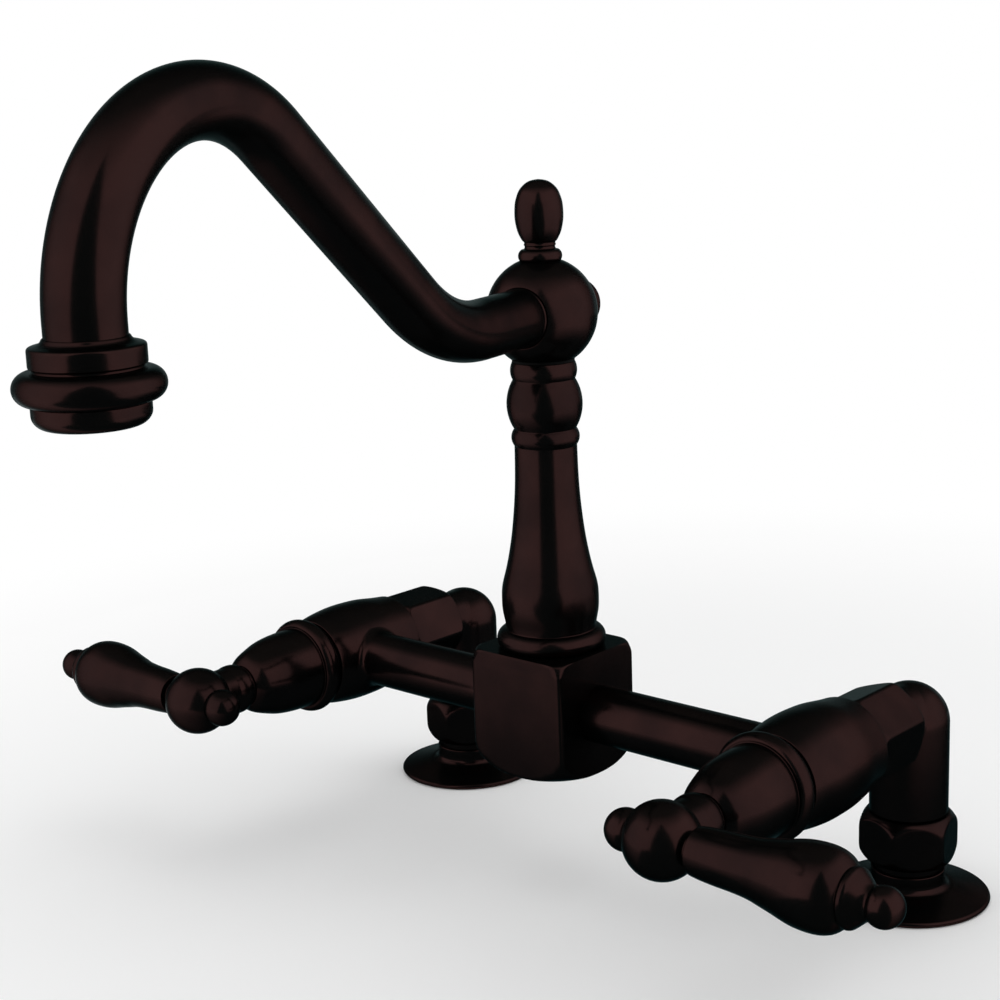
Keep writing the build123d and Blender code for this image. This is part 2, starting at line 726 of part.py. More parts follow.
for name, side_sign in sides.items():
    valve_x = side_sign * half_centres
    valve_origin = Vector(valve_x, bridge_y, bridge_height)
    valve_axis = Axis(valve_origin, (0, 1, 0))
    valve_plane = Plane(valve_origin, x_dir=(0, 1, 0), z_dir=(1, 0, 0))
    back_plane = Plane(valve_origin, x_dir=(1, 0, 0), z_dir=(0, 1, 0))
    hub_centre = valve_origin - Vector(0, lever_forward, 0)
    lever_axis = Axis(hub_centre, (side_sign, 0, 0))
    lever_plane = Plane(hub_centre, x_dir=(side_sign, 0, 0), z_dir=(0, -side_sign, 0))
    lever_face = Plane(hub_centre, x_dir=(0, 1, 0), z_dir=(side_sign, 0, 0))
    leg_axis = Axis((valve_x, 0, 0), (0, 0, 1))
    leg_plane = Plane((valve_x, 0, 0), x_dir=(1, 0, 0), z_dir=(0, -1, 0))

    # Barrel: cartridge chamber in front, port in its floor, tail for the union
    with BuildPart() as valve_barrel:
        turned(
            valve_plane,
            valve_axis,
            (spigot_front, barrel_bore_r),
            [(spigot_front, barrel_spigot_r)],
            [(-barrel_front, barrel_spigot_r)],
            [(-barrel_front, barrel_front_r)],
            [
                (-barrel_front * 2 / 3, barrel_shoulder_r),
                (0, barrel_r),
                (barrel_back / 2, barrel_waist_r),
                (barrel_back, barrel_back_r),
            ],
            [(barrel_back, union_thread_r)],
            [(tail_end, union_thread_r)],
            [(tail_end, waterway_r)],
            [(valve_floor + valve_floor_height, waterway_r)],
            [(valve_floor + valve_floor_height, valve_port_r)],
            [(valve_floor, valve_port_r)],
            [(valve_floor, barrel_bore_r)],
        )
        pipe_plane = Plane(
            (side_sign * (half_centres - saddle_depth), bridge_y, bridge_height),
            z_dir=(-side_sign, 0, 0),
        )
        bore(pipe_plane, pipe_r + slip_fit, saddle_depth)
        bore(pipe_plane.offset(-saddle_depth), pipe_r - pipe_wall, saddle_depth)
    save(valve_barrel, f"valve_barrel_{name}")

    # Bonnet: domed nose and a bright ring, screwed over the barrel's spigot
    with BuildPart() as valve_bonnet:
        turned(
            valve_plane,
            valve_axis,
            (boss_front, bonnet_nose_bore_r),
            [(boss_front, bonnet_boss_r)],
            [(bonnet_front, bonnet_boss_r)],
            [(bonnet_front, bonnet_nose_r)],
            [
                (bonnet_front + bonnet_nose_height, (bonnet_nose_r + bonnet_shoulder_r) / 2),
                (bonnet_front + bonnet_shoulder_height, bonnet_shoulder_r),
                (bonnet_front + bonnet_dome_height, bonnet_dome_r - bonnet_dome_rise),
                (ring_front, bonnet_dome_r),
            ],
            [(ring_front, bonnet_ring_r - bonnet_ring_depth)],
            [((ring_front + ring_back) / 2, bonnet_ring_r), (ring_back, bonnet_ring_r - bonnet_ring_depth)],
            [(ring_back, barrel_front_r)],
            [(-barrel_front, barrel_front_r)],
            [(-barrel_front, bonnet_bore_r)],
            [(spigot_front - end_gap, bonnet_bore_r)],
            [(spigot_front - end_gap, bonnet_cavity_r)],
            [(cavity_front, bonnet_cavity_r)],
            [(cavity_front - bonnet_taper, bonnet_throat_r)],
            [(bonnet_throat, bonnet_throat_r)],
            [(bonnet_throat, bonnet_nose_bore_r)],
        )
    save(valve_bonnet, f"valve_bonnet_{name}")

    # Cartridge: screwed into the barrel, with windows beside the turning disc
    with BuildPart() as cartridge_body:
        turned(
            valve_plane,
            valve_axis,
            (-cartridge_neck_end, stem_hole_r),
            [(-cartridge_neck_end, cartridge_neck_r)],
            [(hex_front, cartridge_neck_r)],
            [(-cartridge_thread_front, cartridge_neck_r)],
            [(-cartridge_thread_front, cartridge_thread_r)],
            [(thread_back, cartridge_thread_r)],
            [(thread_back, cartridge_r)],
            [(valve_floor - end_gap, cartridge_r)],
            [(valve_floor - end_gap, disc_bore_r)],
            [(flange_front - stem_flange_gap, disc_bore_r)],
            [(flange_front - stem_flange_gap, stem_hole_r)],
        )
        with BuildSketch(back_plane.offset(hex_front)):
            RegularPolygon(cartridge_hex_r, 6)
            Circle(stem_hole_r, mode=Mode.SUBTRACT)
        extrude(amount=cartridge_hex_height)
        with BuildSketch(back_plane.offset(turning_disc_front)):
            Rectangle(window_width, 2 * cartridge_thread_r)
            Circle(disc_bore_r - running_fit, mode=Mode.SUBTRACT)
        extrude(amount=disc_height, mode=Mode.SUBTRACT)
    save(cartridge_body, f"cartridge_body_{name}")

    # Stem: flange behind the neck, two seal grooves, square end in the hub
    with BuildPart() as cartridge_stem:
        with BuildSketch(back_plane.offset(flange_front)):
            Circle(stem_flange_r)
        extrude(amount=stem_flange_height)
        with BuildSketch(back_plane.offset(square_start)):
            Circle(stem_r)
        extrude(amount=flange_front - square_start)
        with BuildSketch(back_plane.offset(stem_end)):
            Rectangle(stem_square, stem_square)
        extrude(amount=square_start - stem_end)
        for seal_place in stem_seal_places:
            with BuildSketch(back_plane.offset(seal_place - stem_seal_section_r)):
                Circle(stem_r)
                Circle(stem_r - 2 * stem_seal_section_r, mode=Mode.SUBTRACT)
            extrude(amount=2 * stem_seal_section_r, mode=Mode.SUBTRACT)
    save(cartridge_stem, f"cartridge_stem_{name}")

    with BuildPart() as stem_seals:
        for seal_place in stem_seal_places:
            o_ring(back_plane.offset(seal_place), stem_r, stem_seal_section_r)
    save(stem_seals, f"stem_seals_{name}")

    # Ceramic discs: the ports line up a quarter turn from rest
    with BuildPart() as disc_fixed:
        with BuildSketch(back_plane.offset(fixed_disc_front)):
            Circle(disc_r)
            with Locations((0, disc_port_offset), (0, -disc_port_offset)):
                Circle(disc_port_r, mode=Mode.SUBTRACT)
        extrude(amount=disc_height)
    save(disc_fixed, f"disc_fixed_{name}")

    with BuildPart() as disc_turning:
        with BuildSketch(back_plane.offset(turning_disc_front)):
            Circle(disc_r)
            with Locations((disc_r, 0), (-disc_r, 0)):
                Rectangle(2 * disc_notch_depth, disc_notch_width, mode=Mode.SUBTRACT)
        extrude(amount=disc_height)
    save(disc_turning, f"disc_turning_{name}")

    with BuildPart() as cartridge_seal:
        ring(back_plane.offset(seal_front), disc_r, valve_port_r + 2 * slip_fit, cartridge_seal_height)
    save(cartridge_seal, f"cartridge_seal_{name}")

    # Handle hub: ball with spot faces for the lever and the small ball
    with BuildPart() as handle_hub:
        with BuildSketch(valve_plane):
            with BuildLine():
                ball_end = -lever_forward + sqrt(hub_r**2 - skirt_waist_r**2)
                trace(
                    (-lever_forward - hub_r, 0),
                    [(-lever_forward, hub_r), (ball_end, skirt_waist_r)],
                    [((ball_end + skirt_end) / 2, skirt_waist_r)],
                    [((ball_end + 3 * skirt_end) / 4, skirt_r), (skirt_end, skirt_waist_r)],
                    [(skirt_end, 0)],
                )
            make_face()
        revolve(axis=valve_axis)
        with BuildSketch(lever_face.offset(lever_seat)):
            Circle(hub_r)
        extrude(amount=hub_r, mode=Mode.SUBTRACT)
        with BuildSketch(lever_face.offset(-small_ball_seat)):
            Circle(hub_r)
        extrude(amount=-hub_r, mode=Mode.SUBTRACT)
        bore(lever_face.offset(lever_shank_end - slip_fit), lever_shank_r + slip_fit, hub_r)
        bore(lever_face.offset(-hub_r), small_ball_shank_r + slip_fit, hub_r)
        with BuildSketch(back_plane.offset(stem_end - slip_fit)):
            Rectangle(stem_square + 2 * slip_fit, stem_square + 2 * slip_fit)
        extrude(amount=skirt_end - stem_end + slip_fit, mode=Mode.SUBTRACT)
        with BuildSketch(back_plane.offset(square_start - end_gap)):
            Circle(stem_r + turning_gap)
        extrude(amount=skirt_end - square_start + end_gap, mode=Mode.SUBTRACT)
    save(handle_hub, f"handle_hub_{name}")

    # Lever: shaft that swells to a bulge, then ring, neck and end knob
    with BuildPart() as handle_lever:
        turned(
            lever_plane,
            lever_axis,
            (lever_shank_end, 0),
            [(lever_shank_end, lever_shank_r)],
            [(lever_seat, lever_shank_r)],
            [(lever_seat, lever_seat_r)],
            [(lever_neck_end, lever_seat_r)],
            [(lever_neck_end, lever_start_r)],
            [
                (lever_shaft_at, lever_shaft_r),
                (lever_swell_at, lever_swell_r),
                (lever_bulge_at, lever_bulge_r),
                (lever_end_at, lever_end_r),
            ],
            [(lever_ring_at - lever_ring_height / 2, lever_ring_r - lever_ring_depth)],
            [
                (lever_ring_at, lever_ring_r),
                (lever_ring_at + lever_ring_height / 2, lever_ring_r - lever_ring_depth),
            ],
            [(knob_neck, knob_neck_r)],
            [(knob_at, knob_r), (knob_at + knob_r, 0)],
        )
    save(handle_lever, f"handle_lever_{name}")

    # Small ball: the head of the screw that clamps the hub on the stem
    with BuildPart() as handle_ball_screw:
        turned(
            lever_plane,
            lever_axis,
            (-small_ball_shank_end, 0),
            [(-small_ball_shank_end, small_ball_shank_r)],
            [(-small_ball_seat, small_ball_shank_r)],
            [(-small_ball_seat, small_ball_seat_r)],
            [(-small_ball_at, small_ball_r), (-small_ball_at - small_ball_r, 0)],
        )
    save(handle_ball_screw, f"handle_ball_screw_{name}")

    # Union between the barrel's tail and the elbow
    with BuildPart() as union_nut:
        hex_nut(
            back_plane.offset(nut_front),
            valve_axis,
            nut_length,
            nut_corner_r,
            nut_end_r,
            nut_rounding,
            nut_lip,
            elbow_tail_r + slip_fit,
            nut_turns[name],
        )
    save(union_nut, f"union_nut_{name}")

    with BuildPart() as union_washer:
        ring(back_plane.offset(tail_end), union_thread_r, waterway_r, washer_height)
    save(union_washer, f"union_washer_{name}")

    # Elbow: tail with its collar, leg with a domed top, and foot with a collar
    with BuildPart() as elbow:
        turned(
            leg_plane,
            leg_axis,
            (0, leg_bottom),
            [(union_thread_r, leg_bottom)],
            [(union_thread_r, leg_collar_top)],
            [(leg_foot_r, leg_collar_top)],
            [(leg_foot_r, leg_foot_height)],
            [(leg_r, leg_foot_height)],
            [(leg_r, crown_height)],
            [(crown_side, crown_height + crown_side), (0, crown_height + leg_r)],
        )
        with BuildSketch(back_plane.offset(elbow_collar_front)):
            Circle(elbow_tail_r)
        extrude(amount=bridge_forward - elbow_collar_front)
        with BuildSketch(back_plane.offset(elbow_collar_front)):
            Circle(union_thread_r)
        extrude(amount=collar_thickness)
        bore(back_plane.offset(elbow_collar_front), waterway_r, bridge_forward - elbow_collar_front)
        bore(Plane((valve_x, 0, leg_bottom)), waterway_r, bridge_height - leg_bottom)
    save(elbow, f"elbow_{name}")

    # Coupling nut between the leg and the inlet bushing
    with BuildPart() as coupling_nut:
        hex_nut(
            Plane((valve_x, 0, coupling_bottom)),
            leg_axis,
            coupling_length,
            coupling_corner_r,
            coupling_end_r,
            coupling_rounding,
            coupling_lip,
            leg_foot_r + slip_fit,
            coupling_turn,
        )
    save(coupling_nut, f"coupling_nut_{name}")

    with BuildPart() as coupling_washer:
        ring(Plane((valve_x, 0, coupling_thread_top)), union_thread_r, waterway_r, washer_height)
    save(coupling_washer, f"coupling_washer_{name}")

    # Inlet bushing: female thread from below, male thread for the coupling nut
    with BuildPart() as inlet_bushing:
        turned(
            leg_plane,
            leg_axis,
            (inlet_thread_r, inlet_rise),
            [(bushing_r, inlet_rise)],
            [(bushing_r, inlet_rise + inlet_thread_length)],
            [(union_thread_r, inlet_rise + inlet_thread_length)],
            [(union_thread_r, coupling_thread_top)],
            [(waterway_r, coupling_thread_top)],
            [(waterway_r, inlet_rise + inlet_thread_length)],
            [(inlet_thread_r, inlet_rise + inlet_thread_length)],
        )
    save(inlet_bushing, f"inlet_bushing_{name}")

    # Deck flange: shallow cone with a short hub, hollow underneath
    with BuildPart() as flange:
        turned(
            leg_plane,
            leg_axis,
            (bushing_r + slip_fit, flange_hub_height),
            [(flange_hub_r, flange_hub_height)],
            [(flange_hub_r, flange_fillet_height)],
            [
                (flange_hub_r + flange_fillet_belly, flange_slope_height + flange_fillet_belly),
                (flange_slope_r, flange_slope_height),
            ],
            [(flange_edge_r, flange_rim)],
            [(flange_r, flange_rim / 2), (flange_edge_r, 0)],
            [(flange_hollow_r, 0)],
            [(flange_hollow_r, flange_hollow_height)],
            [(bushing_r + slip_fit, flange_hollow_height)],
        )
    save(flange, f"flange_{name}")
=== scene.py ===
import json
import math
import bmesh
import bpy
import numpy as np
from mathutils import Matrix, Vector


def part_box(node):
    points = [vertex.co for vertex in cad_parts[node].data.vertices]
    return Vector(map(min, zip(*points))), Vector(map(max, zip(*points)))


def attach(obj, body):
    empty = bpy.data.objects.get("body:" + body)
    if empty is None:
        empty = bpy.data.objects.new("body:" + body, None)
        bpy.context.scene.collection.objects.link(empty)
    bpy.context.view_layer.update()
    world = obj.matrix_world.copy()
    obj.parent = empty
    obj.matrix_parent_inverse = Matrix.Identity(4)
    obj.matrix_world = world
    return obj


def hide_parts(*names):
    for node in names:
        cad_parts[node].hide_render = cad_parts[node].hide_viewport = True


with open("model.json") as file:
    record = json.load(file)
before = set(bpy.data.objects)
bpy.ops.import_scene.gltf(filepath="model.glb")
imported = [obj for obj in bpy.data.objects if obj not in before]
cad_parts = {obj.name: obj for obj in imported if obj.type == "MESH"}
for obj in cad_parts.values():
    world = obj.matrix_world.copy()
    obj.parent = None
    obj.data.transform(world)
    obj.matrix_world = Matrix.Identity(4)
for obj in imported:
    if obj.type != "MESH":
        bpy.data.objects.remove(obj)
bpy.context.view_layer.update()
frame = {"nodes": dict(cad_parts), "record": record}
print("frame loaded:", len(frame["nodes"]), "nodes")

# sizes of pieces are in mm and turns in degrees; sizes of the stage and heights of bumps are in metres
mm = 0.001
sides = {"left": -1.0, "right": 1.0}
up = np.array([0.0, 0.0, 1.0])
back = np.array([0.0, 1.0, 0.0])
across = np.array([1.0, 0.0, 0.0])


def boxOf(node):
    # a node's lowest and highest corners at rest
    lo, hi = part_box(node)
    return np.array(lo), np.array(hi)


def middleOf(node):
    # half of the sum of a node's two corners
    lo, hi = boxOf(node)
    return (lo + hi) / 2


columnLine = middleOf("column")
bridgeHeight = middleOf("bridge_pipe_left")[2]
blockTop = boxOf("centre_block")[1][2]
ballFoot = boxOf("spout_ball")[0][2]
tubeEnd = middleOf("outlet_ferrule")
spoutHeading = tubeEnd - columnLine
spoutHeading[2] = 0
spoutReach = np.linalg.norm(spoutHeading)
spoutHeading = spoutHeading / spoutReach
spoutSide = np.cross(up, spoutHeading)

# how outlines are drawn: steps in mm along lines and curves, and in degrees along arcs, with an arc's fewest
# points; from what bend in degrees two runs meet in a corner, the largest share of a run that it may take and
# how many points it gets; and the distance in mm under which two points are one
drawing = {"lineStep": 1.5, "curveStep": 0.8, "arcStep": 5.0, "arcPoints": 5,
           "cornerBend": 14, "cornerShare": 0.42, "cornerPoints": 4, "same": 1e-6}
# metres within which points are merged, and under which an edge is dropped
merging = {"points": 2e-6, "edges": 1e-7}


def straight(start, end):
    # evenly spaced points on a line, no further apart than the line step
    count = max(2, int(math.dist(start, end) / drawing["lineStep"]) + 2)
    return np.linspace(start, end, count)


def arcThrough(start, middle, end):
    # the circle whose centre is as far from all three points, walked from the first to the last by way of the
    # middle one
    (ax, ay), (bx, by), (cx, cy) = start, middle, end
    d = 2 * (ax * (by - cy) + bx * (cy - ay) + cx * (ay - by))
    a2, b2, c2 = ax * ax + ay * ay, bx * bx + by * by, cx * cx + cy * cy
    centre = np.array([a2 * (by - cy) + b2 * (cy - ay) + c2 * (ay - by),
                       a2 * (cx - bx) + b2 * (ax - cx) + c2 * (bx - ax)]) / d
    angles = [math.atan2(y - centre[1], x - centre[0]) for x, y in (start, middle, end)]
    turn = (angles[2] - angles[0]) % (2 * math.pi)
    if (angles[1] - angles[0]) % (2 * math.pi) > turn:
        turn -= 2 * math.pi
    radius = math.dist(start, centre)
    count = max(drawing["arcPoints"], int(abs(math.degrees(turn)) / drawing["arcStep"]) + 2)
    t = angles[0] + turn * np.linspace(0, 1, count)
    return centre + radius * np.stack([np.cos(t), np.sin(t)], 1)


def smoothCurve(points):
    # natural cubic spline through the points, by chord length
    p = np.array(points, float)
    h = np.linalg.norm(np.diff(p, axis=0), axis=1)
    n = len(p)
    system, right = np.eye(n), np.zeros((n, 2))
    for i in range(1, n - 1):
        system[i, i - 1:i + 2] = h[i - 1], 2 * (h[i - 1] + h[i]), h[i]
        right[i] = 6 * ((p[i + 1] - p[i]) / h[i] - (p[i] - p[i - 1]) / h[i - 1])
    bend = np.linalg.solve(system, right)
    knots = np.concatenate([[0], np.cumsum(h)])
    t = np.linspace(0, knots[-1], int(knots[-1] / drawing["curveStep"]) + 3)
    k = np.clip(np.searchsorted(knots, t, side="right") - 1, 0, n - 2)
    a, b, w = (knots[k + 1] - t)[:, None], (t - knots[k])[:, None], h[k][:, None]
    return ((bend[k] * a**3 + bend[k + 1] * b**3) / (6 * w)
            + (p[k] / w - bend[k] * w / 6) * a + (p[k + 1] / w - bend[k + 1] * w / 6) * b)


def trimmed(run, length, fromEnd):
    # the run without its first or last stretch of that length
    p = run[::-1] if fromEnd else run
    along = np.concatenate([[0], np.cumsum(np.linalg.norm(np.diff(p, axis=0), axis=1))])
    cut = np.array([np.interp(length, along, p[:, 0]), np.interp(length, along, p[:, 1])])
    p = np.vstack([cut, p[along > length + drawing["same"]]])
    return p[::-1] if fromEnd else p


def outline(start, *runs, closed=False, soft=0.35):
    # runs of one point are lines, of two arcs, of more smooth curves; each corner between two runs becomes a
    # small quadratic curve. Gives the points and how far each is worn: by the sine of the bend on outer
    # corners, and not at all elsewhere
    here, parts = start, []
    for run in runs:
        if len(run) == 1:
            parts.append(straight(here, run[0]))
        elif len(run) == 2:
            parts.append(arcThrough(here, *run))
        else:
            parts.append(smoothCurve([here, *run]))
        here = run[-1]
    if closed:
        parts.append(straight(here, start))
    lengths = [np.linalg.norm(np.diff(p, axis=0), axis=1).sum() for p in parts]
    count = len(parts)
    corners = {}
    for i in range(count if closed else count - 1):
        before, after = parts[i], parts[(i + 1) % count]
        d1 = (before[-1] - before[-2]) / np.linalg.norm(before[-1] - before[-2])
        d2 = (after[1] - after[0]) / np.linalg.norm(after[1] - after[0])
        bend = math.degrees(math.acos(max(-1.0, min(1.0, float(d1 @ d2)))))
        if bend > drawing["cornerBend"]:
            room = drawing["cornerShare"] * min(lengths[i], lengths[(i + 1) % count])
            corners[i] = (min(soft, room), before[-1], float(d1[0] * d2[1] - d1[1] * d2[0]))
    points, wear = [], []
    for i, part in enumerate(parts):
        if (i - 1) % count in corners and (closed or i > 0):
            part = trimmed(part, corners[(i - 1) % count][0], False)
        if i in corners:
            part = trimmed(part, corners[i][0], True)
        points.append(part if not points else part[1:] if np.allclose(part[0], points[-1][-1]) else part)
        wear.append(np.zeros(len(points[-1])))
        if i in corners:
            _, peak, turn = corners[i]
            following = trimmed(parts[(i + 1) % count], corners[i][0], False)
            t = np.linspace(0, 1, drawing["cornerPoints"] + 2)[1:-1, None]
            points.append((1 - t)**2 * part[-1] + 2 * t * (1 - t) * peak + t**2 * following[0])
            wear.append(np.full(len(t), turn))
    points = np.vstack(points)
    wear = np.concatenate(wear)
    if closed and np.allclose(points[0], points[-1]):
        points = points[:-1]
        wear = wear[:-1]
    nxt = np.roll(points, -1, 0)
    area = (points[:, 0] * nxt[:, 1] - nxt[:, 0] * points[:, 1]).sum() / 2
    return points, np.clip(wear * np.sign(area), 0, 1)


def surface(name, grid, wear, closedRows, closedColumns, sharp=40.0):
    # quads between neighbouring points of a grid (rows x columns x 3); doubles at poles are merged
    rows, columns = grid.shape[:2]
    index = np.arange(rows * columns).reshape(rows, columns)
    below = np.roll(index, -1, 0) if closedRows else index[1:]
    above = index if closedRows else index[:-1]
    if closedColumns:
        quads = np.stack([above, np.roll(above, -1, 1), np.roll(below, -1, 1), below], -1)
    else:
        quads = np.stack([above[:, :-1], above[:, 1:], below[:, 1:], below[:, :-1]], -1)
    mesh = bpy.data.meshes.new(name)
    mesh.from_pydata(grid.reshape(-1, 3).tolist(), [], quads.reshape(-1, 4).tolist())
    worn = mesh.attributes.new("wear", "FLOAT", "POINT")
    everyPoint = np.broadcast_to(wear[:, None], (rows, columns))
    worn.data.foreach_set("value", everyPoint.astype(np.float32).ravel())
    tidy = bmesh.new()
    tidy.from_mesh(mesh)
    bmesh.ops.remove_doubles(tidy, verts=tidy.verts, dist=merging["points"])
    bmesh.ops.dissolve_degenerate(tidy, dist=merging["edges"], edges=tidy.edges)
    bmesh.ops.recalc_face_normals(tidy, faces=tidy.faces)
    tidy.to_mesh(mesh)
    tidy.free()
    mesh.shade_smooth()
    mesh.set_sharp_from_angle(angle=math.radians(sharp))
    piece = bpy.data.objects.new(name, mesh)
    bpy.context.scene.collection.objects.link(piece)
    return piece


def place(piece, body, node, finish):
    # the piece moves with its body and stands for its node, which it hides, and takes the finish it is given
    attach(piece, body)
    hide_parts(node)
    piece.data.materials.append(finish)
    return piece


def turned(name, profile, centre, axis, side, closed=True, segments=160):
    # each outline point (distance along the axis, radius) is carried round the axis
    points, wear = profile
    a = np.linspace(0, 2 * math.pi, segments, endpoint=False)
    third = np.cross(axis, side)
    ring = np.cos(a)[None, :, None] * side + np.sin(a)[None, :, None] * third
    grid = centre + mm * (points[:, 0, None, None] * axis + points[:, 1, None, None] * ring)
    return surface(name, grid, wear, closed, True)


finishes = {
    # colours are those of the metal in its dark patches, in its brown ones and where it is rubbed; edge is
    # its tint at a grazing view, patches and rubbed are the ranges of their noise, and haze is a dull film
    "bronze": {"dark": (0.016, 0.0078, 0.0076), "brown": (0.0285, 0.0122, 0.0113),
               "worn": (0.034, 0.0145, 0.0128), "edge": (0.406, 0.452, 0.454), "roughness": (0.17, 0.22),
               "patches": (0.2, 1.0), "rubbed": (0.1, 0.75), "mottleScale": 55.0, "rubbedScale": 330.0,
               "grainScale": 900.0, "bump": 0.03, "bumpHeight": 0.0002, "haze": 0.08, "hazeRoughness": 0.6},
    "brass": {"dark": (0.42, 0.29, 0.11), "brown": (0.56, 0.41, 0.17),
              "worn": (0.7, 0.55, 0.27), "edge": (1.0, 1.0, 1.0), "roughness": (0.25, 0.4),
              "patches": (0.2, 1.0), "rubbed": (0.1, 0.75), "mottleScale": 80.0, "rubbedScale": 480.0,
              "grainScale": 1500.0, "bump": 0.05, "bumpHeight": 0.0002, "haze": 0.0, "hazeRoughness": 0.6},
    "steel": {"dark": (0.42, 0.42, 0.42), "brown": (0.55, 0.55, 0.54),
              "worn": (0.7, 0.7, 0.7), "edge": (1.0, 1.0, 1.0), "roughness": (0.3, 0.42),
              "patches": (0.2, 1.0), "rubbed": (0.1, 0.75), "mottleScale": 90.0, "rubbedScale": 540.0,
              "grainScale": 2500.0, "bump": 0.05, "bumpHeight": 0.0002, "haze": 0.0, "hazeRoughness": 0.6},
}
plainFinishes = {
    # acetal is darker than black acetal's own tone: painted shade for the shadow line between the ball and
    # the column
    "acetal": {"colour": (0.0022, 0.0022, 0.0022), "tint": (0.0035, 0.0035, 0.0035), "roughness": (0.4, 0.55),
               "scale": 500.0, "gloss": 0.02, "bump": 0.1, "bumpHeight": 0.0001},
    "rubber": {"colour": (0.012, 0.012, 0.013), "tint": (0.022, 0.021, 0.021), "roughness": (0.55, 0.75),
               "scale": 700.0, "gloss": 0.3, "bump": 0.1, "bumpHeight": 0.0001},
    "plastic": {"colour": (0.62, 0.62, 0.6), "tint": (0.72, 0.72, 0.69), "roughness": (0.35, 0.5),
                "scale": 400.0, "gloss": 0.5, "bump": 0.1, "bumpHeight": 0.0001},
    "ceramic": {"colour": (0.74, 0.72, 0.66), "tint": (0.8, 0.79, 0.74), "roughness": (0.12, 0.2),
                "scale": 300.0, "gloss": 0.5, "bump": 0.1, "bumpHeight": 0.0001},
}


def noiseAt(nodes, links, coordinates, scale, detail=3):
    # noise that moves with the piece, because it reads the piece's own coordinates
    noise = nodes.new("ShaderNodeTexNoise")
    noise.inputs["Scale"].default_value = scale
    noise.inputs["Detail"].default_value = detail
    links.new(coordinates.outputs["Object"], noise.inputs["Vector"])
    return noise


def spread(nodes, links, value, low, high, start=0.35, end=0.65):
    # low at start, high at end, and in proportion between them
    step = nodes.new("ShaderNodeMapRange")
    for key, number in (("From Min", start), ("From Max", end), ("To Min", low), ("To Max", high)):
        step.inputs[key].default_value = number
    links.new(value, step.inputs["Value"])
    return step.outputs["Result"]


# the mix node's colour sockets, by number because it has others of the same names
mixSockets = {"first": 6, "second": 7, "result": 2}


def mixed(nodes, links, factor, first, second):
    # the first colour times one less the factor, plus the second times the factor; each may be a fixed colour
    # or another node's output
    mix = nodes.new("ShaderNodeMix")
    mix.data_type = "RGBA"
    links.new(factor, mix.inputs["Factor"])
    for key, colour in (("first", first), ("second", second)):
        socket = mix.inputs[mixSockets[key]]
        if isinstance(colour, tuple):
            socket.default_value = (*colour, 1)
        else:
            links.new(colour, socket)
    return mix.outputs[mixSockets["result"]]


def addGrain(nodes, links, shader, grain, look):
    # the same noise sets the roughness and, as a bump, the height
    links.new(spread(nodes, links, grain.outputs["Fac"], *look["roughness"]), shader.inputs["Roughness"])
    bump = nodes.new("ShaderNodeBump")
    bump.inputs["Strength"].default_value = look["bump"]
    bump.inputs["Distance"].default_value = look["bumpHeight"]
    links.new(grain.outputs["Fac"], bump.inputs["Height"])
    links.new(bump.outputs["Normal"], shader.inputs["Normal"])


def metalFinish(name, look):
    # a broad noise mixes dark and brown in patches, the wear times a finer noise mixes in the rubbed colour,
    # and the finest noise is the grain
    material = bpy.data.materials.new(name)
    material.use_nodes = True
    nodes, links = material.node_tree.nodes, material.node_tree.links
    shader = nodes["Principled BSDF"]
    shader.inputs["Metallic"].default_value = 1.0
    shader.inputs["Specular Tint"].default_value = (*look["edge"], 1)
    shader.inputs["Coat Weight"].default_value = look["haze"]
    shader.inputs["Coat Roughness"].default_value = look["hazeRoughness"]
    coordinates = nodes.new("ShaderNodeTexCoord")
    mottle = noiseAt(nodes, links, coordinates, look["mottleScale"], detail=4)
    grain = noiseAt(nodes, links, coordinates, look["grainScale"])
    rubbed = noiseAt(nodes, links, coordinates, look["rubbedScale"])
    patches = spread(nodes, links, mottle.outputs["Fac"], *look["patches"])
    colour = mixed(nodes, links, patches, look["dark"], look["brown"])
    worn = nodes.new("ShaderNodeAttribute")
    worn.attribute_name = "wear"
    share = nodes.new("ShaderNodeMath")
    share.operation = "MULTIPLY"
    links.new(worn.outputs["Fac"], share.inputs[0])
    links.new(spread(nodes, links, rubbed.outputs["Fac"], *look["rubbed"]), share.inputs[1])
    links.new(mixed(nodes, links, share.outputs[0], colour, look["worn"]), shader.inputs["Base Color"])
    addGrain(nodes, links, shader, grain, look)
    return material


def mouldedFinish(name, look):
    # one noise mixes two close tints and is the grain too
    material = bpy.data.materials.new(name)
    material.use_nodes = True
    nodes, links = material.node_tree.nodes, material.node_tree.links
    shader = nodes["Principled BSDF"]
    shader.inputs["Specular IOR Level"].default_value = look["gloss"]
    coordinates = nodes.new("ShaderNodeTexCoord")
    grain = noiseAt(nodes, links, coordinates, look["scale"])
    patches = spread(nodes, links, grain.outputs["Fac"], 0.0, 1.0)
    links.new(mixed(nodes, links, patches, look["colour"], look["tint"]), shader.inputs["Base Color"])
    addGrain(nodes, links, shader, grain, look)
    return material


bronze = metalFinish("darkBronze", finishes["bronze"])
brass = metalFinish("bareBrass", finishes["brass"])
steel = metalFinish("steelMesh", finishes["steel"])
rubber = mouldedFinish("sealRubber", plainFinishes["rubber"])
plastic = mouldedFinish("whitePlastic", plainFinishes["plastic"])
# the acetal finish is black acetal darkened further as painted shade
acetal = mouldedFinish("blackAcetalShadeLine", plainFinishes["acetal"])
ceramic = mouldedFinish("lappedCeramic", plainFinishes["ceramic"])
slotFinishes = {"bronze": bronze, "bare_brass": brass, "steel_mesh": steel, "seal_rubber": rubber,
                "white_plastic": plastic, "black_acetal": acetal, "ceramic": ceramic}
# every node takes its slot's finish; finer pieces below stand for the outer ones
for part in frame["record"]["subparts"]:
    node = frame["nodes"][part["node"]]
    node.data.materials.clear()
    node.data.materials.append(slotFinishes[part["material_slot"]])
print("finishes made")


